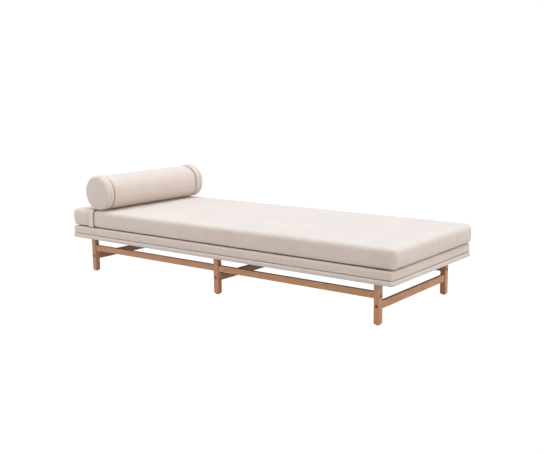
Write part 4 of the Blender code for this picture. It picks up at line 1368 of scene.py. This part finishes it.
@dataclass
class Mattress:
    """The long foam mattress: a soft slab in a zipped cloth cover with light tucks in its sides."""

    corner: float = 0.024
    upper_edge: float = 0.020
    lower_edge: float = 0.010
    step: float = 0.0135
    shrink: float = 0.0014
    sewn_corner: float = 0.025
    end_bulge: float = 0.0050
    sewn_upper_edge: float = 0.027
    sewn_lower_edge: float = 0.016
    tuck_spacing: float = 0.2135
    end_tucks: tuple[float, ...] = (-0.16, 0.01, 0.185)
    tuck_lines: tuple[float, ...] = (-0.010, -0.005, 0.0, 0.005, 0.010)
    edge_lines: tuple[float, ...] = (0.005, 0.011, 0.018)
    strap_lines: tuple[float, ...] = (0.0195, 0.0225, 0.0255, 0.0290)
    zip_lines: tuple[float, ...] = (-0.0095, -0.0073, -0.005, 0.0, 0.005, 0.0073, 0.0095)
    strap_x: float = -0.848
    zip_height: float = 0.300
    zip_depth: float = 0.0084
    zip_half_length: float = 0.300

    def slab(self) -> SoftSlab:
        """The cover's shape, from the frame's box."""
        low, high = frame_box("mattress_cover")
        return SoftSlab(high[0], high[1], low[2], high[2], self.corner, self.upper_edge, self.lower_edge)

    def build(self) -> None:
        """Fills the cover, then presses in the tucks and the zip's slot."""
        slab = self.slab()
        tucks = np.arange(-4, 5) * self.tuck_spacing
        keep_x = [tuck + gap for tuck in tucks[1:] for gap in self.tuck_lines]
        keep_x += [self.strap_x + side * gap for side in (-1, 1) for gap in self.strap_lines]
        keep_y = [tuck + gap for tuck in self.end_tucks for gap in self.tuck_lines]
        keep_y += [side * (self.zip_half_length + gap) for side in (-1, 1) for gap in (-0.003, 0.003)]
        keep_z = [self.zip_height + line for line in self.zip_lines]
        beside = np.array(self.edge_lines)
        keep_x += [*(beside - slab.half_x), *(slab.half_x - beside)]
        keep_y += [*(beside - slab.half_y), *(slab.half_y - beside)]
        keep_z += [slab.bottom + 0.006, slab.bottom + 0.012, *(slab.top - beside)]
        sewn = replace(
            slab, corner=self.sewn_corner,
            upper_edge=self.sewn_upper_edge, lower_edge=self.sewn_lower_edge,
        )
        points, faces = sewn.shrunk(self.shrink).surface(self.step, keep_x, keep_y, keep_z)
        cover = make_mesh("mattress_cover_cloth", points, faces)
        Stuffing().fill(cover)
        points = slab.held_inside(read_points(cover.data), 0.0002)
        points[:, 0] = np.clip(points[:, 0], -slab.half_x - 0.001, slab.half_x + 0.001)
        write_points(cover.data, points)
        points = self.tucked(points, vertex_normals(cover.data), slab, tucks)
        points = self.slotted(points, slab)
        write_points(cover.data, points)
        map_by_panels(cover)
        add_piece(cover, CREAM, "mattress", ["mattress_cover", "mattress_core"], 0.75)
        dress_node("mattress_zip_slider", ZINC)
        low, high = frame_box("mattress_zip")
        place = np.array([high[0], 0.0, (low[2] + high[2]) / 2])
        run = ZipRun(
            "mattress_zip_run", "mattress_zip", "mattress", place, Y_AXIS,
            Z_AXIS, -X_AXIS,
        )
        run.build()

    def tucked(
        self, points: np.ndarray, normals: np.ndarray, slab: SoftSlab, tucks: np.ndarray
    ) -> np.ndarray:
        """Presses the side tucks and slow waves into the cover.

        A tuck is a bell across, on the faces that stand upright, and is deepest just under the
        upper edge. Its depth and width vary a little from one to the next.

        Args:
            points: (n, 3) array of places.
            normals: (n, 3) array of outward directions.
            slab: The cover's shape.
            tucks: Places of the tucks along X.

        Returns:
            The new places.
        """
        x, y, z = points.T
        random = np.random.default_rng(41)
        on_long = np.clip((np.abs(y) - slab.half_y + 0.030) / 0.018, 0, 1)
        on_end = np.clip((np.abs(x) - slab.half_x + 0.030) / 0.018, 0, 1)
        near_top = bell(z - slab.top + 0.013, 0.014)
        fade = np.clip((z - slab.bottom) / 0.03, 0.35, 1)
        press = np.zeros(len(points))
        ends = np.array(self.end_tucks)
        for places, at, on_face in ((tucks, x, on_long), (ends, y, on_end)):
            deep = random.uniform(0.7, 1.25, len(places))
            deep[np.abs(places - self.strap_x) < 0.02] = 0.0
            wide = random.uniform(0.0055, 0.0085, len(places))
            lean = random.uniform(-0.10, 0.10, len(places)) * (z[:, None] - slab.bottom)
            line = bell((at[:, None] - places - lean) / wide, 1.0) * deep
            press += line.sum(axis=1) * on_face * (0.0017 * fade + 0.0020 * near_top)
        beside_strap = bell(np.abs(x - self.strap_x) - 0.0232, 0.0032)
        press += 0.0024 * beside_strap * np.maximum(on_long, near_top * (np.abs(y) > slab.half_y - 0.05))
        wave = uneven(points, 0.16, 0.05, 42, (1, 1, 0.4))
        press += 0.0004 + 0.0004 * wave
        moved = points - normals * press[:, None]
        share = np.clip((z - slab.bottom) / (slab.top - slab.bottom), 0, 1)
        outer = np.clip((np.abs(x) - slab.half_x + 0.04) / 0.04, 0, 1)
        bulge = self.end_bulge * np.sin(math.pi * share) ** 0.7 * outer * outer
        moved[:, 0] += np.sign(x) * bulge * np.where(x > 0, 1.0, 0.7)
        low_end = np.clip((slab.bottom + 0.034 - z) / 0.034, 0, 1) ** 1.5
        at_head = np.clip((-x - slab.half_x + 0.05) / 0.05, 0, 1)
        moved[:, 0] += 0.012 * low_end * at_head
        return moved

    def slotted(self, points: np.ndarray, slab: SoftSlab) -> np.ndarray:
        """Sinks the zip's slot into the head end: a flat floor with steep round lips."""
        x, y, z = points.T
        at_head = (x < -slab.half_x + 0.012).astype(float)
        share = slot_share(np.abs(z - self.zip_height), 0.0090, y) * at_head
        moved = points.copy()
        floor = -slab.half_x + self.zip_depth
        moved[:, 0] = x * (1 - share) + np.maximum(floor, x) * share
        return moved


# ---------------------------------------------------------------- the bolster


@dataclass
class Bolster:
    """The round bolster: a zipped sleeve between two caps, with a groove at each joint."""

    radius: float = 0.092
    cap_radius: float = 0.0942
    groove: float = 0.3145
    groove_half: float = 0.0030
    groove_depth: float = 0.0075
    seam: float = 0.3430
    rounding: float = 0.017
    dome: float = 0.004
    sag: float = 0.0055
    zip_drop: float = math.radians(28)
    zip_slot_depth: float = 0.0088
    rows_step: float = 0.0085
    columns: int = 84
    net_lines: int = 50

    def __post_init__(self) -> None:
        """Reads the bolster's axis and length from the frame's boxes."""
        low, high = frame_box("bolster_sleeve")
        _, back = frame_box("bolster_cap_back")
        self.axis = (low + high) / 2
        self.ends = {-1: float(back[1]) - 0.002, 1: float(back[1]) + 0.009}

    def build(self) -> None:
        """Makes the sleeve, the caps, the flap and the zip."""
        self.add_sleeve()
        for side_name, side in SIDES:
            self.add_cap(side_name, side)
        self.add_flap()
        dress_node("bolster_zip_slider", ZINC)
        out = np.array([-math.cos(self.zip_drop), 0.0, -math.sin(self.zip_drop)])
        across = np.array([math.sin(self.zip_drop), 0.0, -math.cos(self.zip_drop)])
        chord = self.radius * math.cos(math.pi / 24)
        place = self.axis + out * (chord - 0.0075)
        run = ZipRun(
            "bolster_zip_run", "bolster_zip", "bolster", place, Y_AXIS, across, out
        )
        run.build()

    def zip_angle(self) -> float:
        """The zip's direction round the axis, from +X towards +Z."""
        return math.pi + self.zip_drop

    def add_sleeve(self) -> None:
        """Turns the sleeve, fills it, and sinks the zip's slot and the gathers by the grooves."""
        edge = self.groove - self.groove_half
        floor = self.radius - self.groove_depth
        turn = np.radians(np.linspace(0, 90, 5))
        round_edge = 0.0042
        shoulder = np.stack(
            [edge - round_edge + round_edge * np.sin(turn),
             self.radius - round_edge + round_edge * np.cos(turn)], -1
        )
        half = edge - round_edge
        flat = spaced(-half, half, self.rows_step, (-0.303, -0.298, 0.298, 0.303))[1:-1]
        wall = [(edge, floor), (edge - 0.004, floor * 0.6), (edge - 0.004, 0.0)]
        right = np.concatenate([shoulder, wall])
        left = np.stack([-right[::-1, 0], right[::-1, 1]], -1)
        middle = np.stack([flat, np.full(len(flat), self.radius)], -1)
        profile = np.concatenate([left, middle, right])
        centre = self.zip_angle()
        gaps = np.array([-0.0098, -0.0075, -0.005, 0.0, 0.005, 0.0075, 0.0098]) / self.radius
        angles = spaced(0, 2 * math.pi, 2 * math.pi / self.columns, centre + gaps)[:-1]
        pulled = profile - np.array([0.0, 0.0016]) * (profile[:, 1:] > floor)
        points, quads, fans = turned_surface(pulled, -angles, self.axis, Y_AXIS, X_AXIS)
        sleeve = make_mesh("bolster_sleeve_cloth", points, quads, fans)
        hold = (np.abs(points[:, 1]) > edge - 0.002).astype(float)
        Stuffing(cap=0.0028).fill(sleeve, hold)
        points = read_points(sleeve.data)
        y = points[:, 1]
        local = points - self.axis
        reach = np.hypot(local[:, 0], local[:, 2])
        angle = np.mod(np.arctan2(local[:, 2], local[:, 0]), 2 * math.pi)
        foot_side = np.clip(np.cos(angle), 0, 1) * np.clip(-np.sin(angle), 0, 1) * 2
        new_reach = np.minimum(reach, self.radius + 0.0004)
        new_reach += self.sag * foot_side * (reach > floor + 0.004)
        gather = np.clip(smooth_noise(local * (1, 0.25, 1), 0.017, 51), -1.4, 1.4)
        at_groove = bell(np.abs(y) - edge, 0.020)
        new_reach -= 0.0006 * (1 + 0.5 * gather) * at_groove * (reach > floor + 0.004)
        wave = uneven(local, 0.10, 0.04, 52, (1, 0.5, 1))
        new_reach -= 0.0004 * (1 + wave) * (reach > floor + 0.004)
        off = np.abs(np.mod(angle - centre + math.pi, 2 * math.pi) - math.pi) * self.radius
        share = slot_share(off, 0.0093, y)
        slot_floor = (self.radius - self.zip_slot_depth) / np.maximum(np.cos(off / self.radius), 0.9)
        slotted = new_reach * (1 - share) + np.minimum(slot_floor, new_reach) * share
        sunk = np.where(reach > floor + 0.002, slotted, new_reach)
        scale = sunk / np.maximum(reach, 1e-6)
        local[:, [0, 2]] *= scale[:, None]
        points = self.axis + local
        points[:, 2] = np.maximum(points[:, 2], self.axis[2] - self.radius + 0.0004)
        write_points(sleeve.data, points)
        self.map_round(sleeve)
        add_piece(sleeve, CREAM, "bolster", ["bolster_sleeve", "bolster_core"], 0.9)

    def map_round(
        self, obj: bpy.types.Object, end: float = 0.0, flat_beyond: float | None = None
    ) -> None:
        """Lays threads round a turned piece: distance round the axis and distance along it.

        Args:
            obj: The piece.
            end: How far along the axis its disc lies.
            flat_beyond: From this distance along the axis the cloth is one flat disc, whose
                threads run straight; None if there is no disc.
        """
        mesh = obj.data
        at = read_points(mesh)[corner_vertices(mesh)] - self.axis
        totals = read_values(mesh.polygons, "loop_total", 1, np.int32)
        middle = np.repeat(read_values(mesh.polygons, "center", 3) - self.axis, totals, axis=0)
        angle = np.arctan2(at[:, 2], at[:, 0])
        main = np.arctan2(middle[:, 2], middle[:, 0])
        angle += 2 * math.pi * np.round((main - angle) / (2 * math.pi))
        places = np.stack([angle * self.radius, at[:, 1]], -1)
        if flat_beyond is not None:
            reach = np.hypot(at[:, 0], at[:, 2])
            beyond = end - np.abs(at[:, 1])
            length = reach + beyond
            disc = at[:, [0, 2]] * (length / np.maximum(reach, 1e-6))[:, None]
            places = np.where((np.abs(middle[:, 1]) > flat_beyond)[:, None], disc, places)
        set_cloth_map(obj, places)

    def cap_profile(self, end: float) -> np.ndarray:
        """(distance out along the axis, radius) points from the disc's middle, at the end, to the
        groove."""
        radius, rounding = self.cap_radius, self.rounding
        disc = np.linspace(0, radius - rounding, 12)
        dome = end - self.dome * (disc / (radius - rounding)) ** 2
        centre = end - self.dome - rounding
        turn = np.radians(np.linspace(0, 90, 12))[1:]
        quarter = np.stack([np.cos(turn), np.sin(turn)], -1) * rounding + (centre, radius - rounding)
        inner = self.groove + self.groove_half
        band = np.linspace(centre, inner + 0.005, 9)[1:]
        crown = radius + 0.0003 * np.sin(math.pi * (band - inner) / (centre - inner))
        turn = np.radians(np.linspace(0, 90, 5))[1:]
        lip = np.stack([inner + 0.005 - 0.005 * np.sin(turn), radius - 0.005 + 0.005 * np.cos(turn)], -1)
        floor = np.array([(inner, self.radius - self.groove_depth), (inner + 0.003, self.radius * 0.6)])
        disc, band = np.stack([dome, disc], -1), np.stack([band, crown], -1)
        return np.concatenate([disc, quarter, band, lip, floor])

    def add_cap(self, side_name: str, side: int) -> None:
        """Makes one cap: the unit disc's net wrapped down the cap's profile by its length.

        Args:
            side_name: Front or back.
            side: -1 or 1.
        """
        end = self.ends[side]
        profile = self.cap_profile(end)
        lengths = path_lengths(profile)
        total = lengths[-1]
        seam_at = float(np.interp(-self.seam, -profile[12:32, 0], lengths[12:32]))
        beside = np.array([-0.0040, 0.0, 0.0040])
        kept = (seam_at + beside) / total
        lines = spaced(-1, 1, 2 / self.net_lines, (*kept, *(-kept)))
        disc, quads, rim = disc_lattice(lines)
        share = np.hypot(disc[:, 0], disc[:, 1])
        travel = np.minimum(share, 1.0) * total
        out = np.interp(travel, lengths, profile[:, 0])
        reach = np.interp(travel, lengths, profile[:, 1]) - 0.0010
        reach = np.maximum(reach, 0)
        around = disc / np.maximum(share, 1e-9)[:, None]
        centre = self.axis + np.array([0.0, 0.0, self.cap_radius - self.radius])
        points = np.stack(
            [centre[0] + around[:, 0] * reach, side * out, centre[2] + around[:, 1] * reach], -1
        )
        pole = np.array([[centre[0], side * (self.groove + self.groove_half + 0.003), centre[2]]])
        points = np.concatenate([points, pole])
        fan = np.stack([np.full(len(rim), len(points) - 1), np.roll(rim, -1), rim], -1)
        cap = make_mesh(f"bolster_cap_{side_name}_cloth", points, quads, fan)
        hold = np.concatenate([(travel > total - 0.022).astype(float), [1.0]])
        Stuffing(cap=0.0022).fill(cap, hold)
        points = read_points(cap.data)
        local = points - centre
        travel = np.concatenate([travel, [total]])
        seam_press = 0.0052 * bell(travel - seam_at, 0.0036)
        gather = np.clip(smooth_noise(local * (1, 0.2, 1), 0.013, 61 + side), -1.5, 1.5)
        near_seam = bell(travel - seam_at, 0.010)
        wave = smooth_noise(local, 0.045, 63 + side)
        push = seam_press + 0.00025 * (1 + gather) * near_seam
        push += 0.0003 * (1 + wave) * (travel < total - 0.018)
        normals = vertex_normals(cap.data)
        points -= normals * push[:, None]
        low_foot = np.clip(local[:, 0], 0, None) * np.clip(-local[:, 2], 0, None) / self.radius**2
        points[:, [0, 2]] += local[:, [0, 2]] / self.radius * (self.sag * 1.5 * low_foot)[:, None]
        points[:, 2] = np.maximum(points[:, 2], self.axis[2] - self.radius + 0.0004)
        write_points(cap.data, points)
        self.map_round(cap, end, self.seam)
        add_piece(cap, CREAM, "bolster", [f"bolster_cap_{side_name}"], 0.9)

    def add_flap(self) -> None:
        """Makes the flap between strap and sleeve: a folded cloth standing on edge."""
        low, high = frame_box("bolster_flap")
        middle = (low + high) / 2
        ys = np.linspace(low[1], high[1], 101)
        path = np.column_stack([np.full(101, middle[0]), ys, np.full(101, low[2])])
        wave = 0.0004 * np.sin(ys * 47.0) + 0.0003 * np.sin(ys * 121.0 + 1.0)
        path[:, 0] += wave
        thickness, height = 0.0018, high[2] - low[2]
        profile = ribbon_profile(height, thickness, 6) + np.array([height / 2, -thickness / 2])
        out = np.broadcast_to(X_AXIS, path.shape)
        points, *faces = swept_solid(profile, path, out, Z_AXIS)
        flap = make_mesh("bolster_flap_cloth", points, *faces)
        at = read_points(flap.data)[corner_vertices(flap.data)]
        set_cloth_map(flap, at[:, 1:])
        add_piece(flap, CREAM, "bolster", ["bolster_flap"])


# ---------------------------------------------------------------- the strap


@dataclass
class Strap:
    """The flat strap that holds the bolster to the mattress, closed by hook tape on the back."""

    thickness: float = 0.0018
    clearance: float = 0.0004
    upper_edge: float = 0.020
    lower_edge: float = 0.010
    outer_end: float = 0.276
    inner_end: float = 0.322
    step: float = 0.008
    stitch_pitch: float = 0.0042
    stitch_inset: float = 0.0035

    def ring(self, over: float) -> tuple[np.ndarray, np.ndarray]:
        """The strap's inner face in Y and Z, from its outer end once round to its inner end.

        Args:
            over: How much further out the outer layer lies on the back.

        Returns:
            (n, 2) arrays of the points and outward directions.
        """
        low, high = frame_box("mattress_cover")
        side, top, bottom = high[1], high[2], low[2]
        turn = np.radians(np.linspace(0, 90, 9))
        corners = (
            (1, 1, self.upper_edge, 0.0), (-1, 1, self.upper_edge, math.pi / 2),
            (-1, -1, self.lower_edge, math.pi), (1, -1, self.lower_edge, math.pi * 1.5),
        )
        points = [np.array([[side + self.clearance + over, self.outer_end]])]
        out = [np.array([[1.0, 0.0]])]
        for sign_y, sign_z, radius, start in corners:
            angle = start + turn
            direction = np.stack([np.cos(angle), np.sin(angle)], -1)
            level = top - radius if sign_z > 0 else bottom + radius
            centre = np.array([sign_y * (side - radius), level])
            extra = np.zeros((9, 1))
            if start == 0.0:
                extra = over * np.cos(turn)[:, None] ** 2
            points.append(centre + (radius + self.clearance + extra) * direction)
            out.append(direction)
        points.append(np.array([[side + self.clearance, self.inner_end]]))
        out.append(np.array([[1.0, 0.0]]))
        path, out_all = np.concatenate(points), np.concatenate(out)
        total = path_lengths(path)[-1]
        even = np.linspace(0, total, round(total / self.step))
        places = np.unique(np.concatenate([path_lengths(path), even]))
        directions = along_path(path, out_all, places)
        directions /= np.linalg.norm(directions, axis=1, keepdims=True)
        return along_path(path, path, places), directions

    def build(self) -> None:
        """Makes the strap, its stitches and the hook tape."""
        low, high = frame_box("mattress_strap")
        centre_x, width = (low[0] + high[0]) / 2, high[0] - low[0]
        over = high[1] - 0.370 - self.clearance - self.thickness
        flat, out = self.ring(over)
        path = np.column_stack([np.full(len(flat), centre_x), flat])
        out = np.column_stack([np.zeros(len(out)), out])
        profile = ribbon_profile(width, self.thickness)
        sunk = 0.0003 * bell(np.abs(profile[:, 0]) - width / 2 + self.stitch_inset, 0.0012)
        profile[:, 1] -= sunk * (profile[:, 1] > self.thickness * 0.9)
        points, *faces = swept_solid(profile, path, out, X_AXIS)
        strap = make_mesh("mattress_strap_cloth", points, *faces)
        count = len(profile)
        at = np.minimum(corner_vertices(strap.data), len(path) * count - 1)
        lengths = path_lengths(path)
        set_cloth_map(strap, np.stack([profile[at % count, 0], lengths[at // count]], -1))
        add_piece(strap, STRAP_CLOTH, "bolster", ["mattress_strap"])
        places = np.arange(0.006, lengths[-1] - 0.006, self.stitch_pitch)
        centres, outward = along_path(path, path, places), along_path(path, out, places)
        outward /= np.linalg.norm(outward, axis=1, keepdims=True)
        along = np.cross(outward, X_AXIS)
        offset = width / 2 - self.stitch_inset
        sewn = centres + outward * (self.thickness - 0.0004)
        rows = [sewn + side * offset * X_AXIS for side in (-1, 1)]
        size = (self.stitch_pitch * 0.72, 0.0007, 0.00045)
        points, faces = bevelled_blocks(
            np.concatenate(rows), np.tile(along, (2, 1)), X_AXIS, np.tile(outward, (2, 1)), size
        )
        stitches = make_mesh("strap_stitches", points, faces)
        add_piece(stitches, THREAD, "bolster")
        dress_node("strap_hook_tape", HOOK_TAPE)


# ---------------------------------------------------------------- the studio


@dataclass
class Studio:
    """A bright white studio: floor, soft lights and the camera."""

    eye: tuple[float, float, float] = (2.5653, -3.1702, 0.998)
    yaw: float = math.radians(37.897)
    pitch: float = math.radians(-9.940)
    roll: float = math.radians(-0.717)
    lens: float = 53.645
    floor_size: float = 30.0
    sky_angle: float = math.radians(60)
    light_size: float = 1.8

    def build(self) -> None:
        """Sets up the stage."""
        self.add_floor()
        self.add_world()
        self.add_camera()
        middle = (0.0, 0.0, 0.0)
        self.add_light("SUN", "top_light", (0.1, 0.35, 3.0), middle, 3.0, (0.668, 0.84, 1.0))
        self.add_light("SUN", "right_light", (4.0, -0.1, 1.0), middle, 1.0, (1.0, 0.92, 0.86))
        head = (-0.9, 0.0, 0.25)
        self.add_light("AREA", "front_light", (-3.0, -3.0, 1.2), head, 25.0, (1.0, 0.90, 0.82))
        view = bpy.context.scene.view_settings
        view.view_transform = "Standard"
        view.look = "None"

    def add_floor(self) -> None:
        """Lays a white floor that the camera sees as evenly bright as the air behind it."""
        corners = np.array([(-0.5, -0.5, 0), (0.5, -0.5, 0), (0.5, 0.5, 0), (-0.5, 0.5, 0)])
        floor = make_mesh("studio_floor", corners * self.floor_size, np.array([(0, 1, 2, 3)]))
        material, graph, shader = begin_material("studio_white")
        shader.inputs["Base Color"].default_value = (0.42, 0.40, 0.39, 1.0)
        shader.inputs["Roughness"].default_value = 0.9
        shader.inputs["Emission Color"].default_value = (1.0, 0.94, 0.90, 1.0)
        shader.inputs["Emission Strength"].default_value = 0.17
        glow = graph.add("Emission", {"Color": (1.0, 1.0, 1.0, 1.0), "Strength": 1.05})
        path = graph.add("LightPath")
        mix = graph.add("MixShader", {0: path.outputs["Is Camera Ray"]})
        links = material.node_tree.links
        links.new(shader.outputs[0], mix.inputs[1])
        links.new(glow.outputs[0], mix.inputs[2])
        links.new(mix.outputs[0], material.node_tree.nodes["Material Output"].inputs["Surface"])
        dress(floor, material)

    def add_world(self) -> None:
        """Fills the air with even white light: white to the camera, softer to the object."""
        world = bpy.data.worlds.new("studio_air")
        world.use_nodes = True
        tree = world.node_tree
        light = tree.nodes["Background"]
        light.inputs["Color"].default_value = (1.0, 0.955, 0.92, 1.0)
        light.inputs["Strength"].default_value = 0.70
        seen = tree.nodes.new("ShaderNodeBackground")
        seen.inputs["Color"].default_value = (1.0, 1.0, 1.0, 1.0)
        seen.inputs["Strength"].default_value = 1.05
        path = tree.nodes.new("ShaderNodeLightPath")
        mix = tree.nodes.new("ShaderNodeMixShader")
        tree.links.new(path.outputs["Is Camera Ray"], mix.inputs[0])
        tree.links.new(light.outputs[0], mix.inputs[1])
        tree.links.new(seen.outputs[0], mix.inputs[2])
        tree.links.new(mix.outputs[0], tree.nodes["World Output"].inputs["Surface"])
        bpy.context.scene.world = world

    def add_camera(self) -> None:
        """Stands the camera at its place, turned by yaw, pitch and roll."""
        flat = math.cos(self.pitch)
        ahead = Vector((-math.sin(self.yaw) * flat, math.cos(self.yaw) * flat, math.sin(self.pitch)))
        level = ahead.cross(Vector((0, 0, 1))).normalized()
        above = level.cross(ahead)
        right = level * math.cos(self.roll) + above * math.sin(self.roll)
        up = above * math.cos(self.roll) - level * math.sin(self.roll)
        data = bpy.data.cameras.new("camera")
        data.sensor_width = 36.0
        data.lens = self.lens
        camera = bpy.data.objects.new("camera", data)
        turn = Matrix((right, up, -ahead)).transposed()
        camera.matrix_world = Matrix.Translation(self.eye) @ turn.to_4x4()
        bpy.context.scene.collection.objects.link(camera)
        bpy.context.scene.camera = camera

    def add_light(
        self, kind: str, name: str, place: Sequence[float], target: Sequence[float], power: float,
        colour: Sequence[float],
    ) -> None:
        """Hangs one soft light: a square, or a wide patch of sky far away.

        Args:
            kind: AREA or SUN.
            name: Its name.
            place: Where it hangs; for a sun, the direction that it comes from.
            target: The point it faces.
            power: Its power in watts, or watts a square metre for a sun.
            colour: Its colour.
        """
        data = bpy.data.lights.new(name, kind)
        if kind == "SUN":
            data.angle = self.sky_angle
        else:
            data.size = self.light_size
        data.energy = power
        data.color = colour
        light = bpy.data.objects.new(name, data)
        light.location = place
        light.rotation_euler = (Vector(target) - Vector(place)).to_track_quat("-Z", "Y").to_euler()
        light.visible_camera = False
        bpy.context.scene.collection.objects.link(light)


def write_sizes() -> None:
    """Brings the scene's placements up to date."""
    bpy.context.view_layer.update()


def main() -> None:
    """Builds the daybed on its frame and puts it in the studio."""
    logging.basicConfig(level=logging.INFO, format="%(message)s")
    Studio().build()
    Stand().build()
    Deck().build()
    Mattress().build()
    Bolster().build()
    Strap().build()
    write_sizes()


if __name__ == "__main__":
    main()
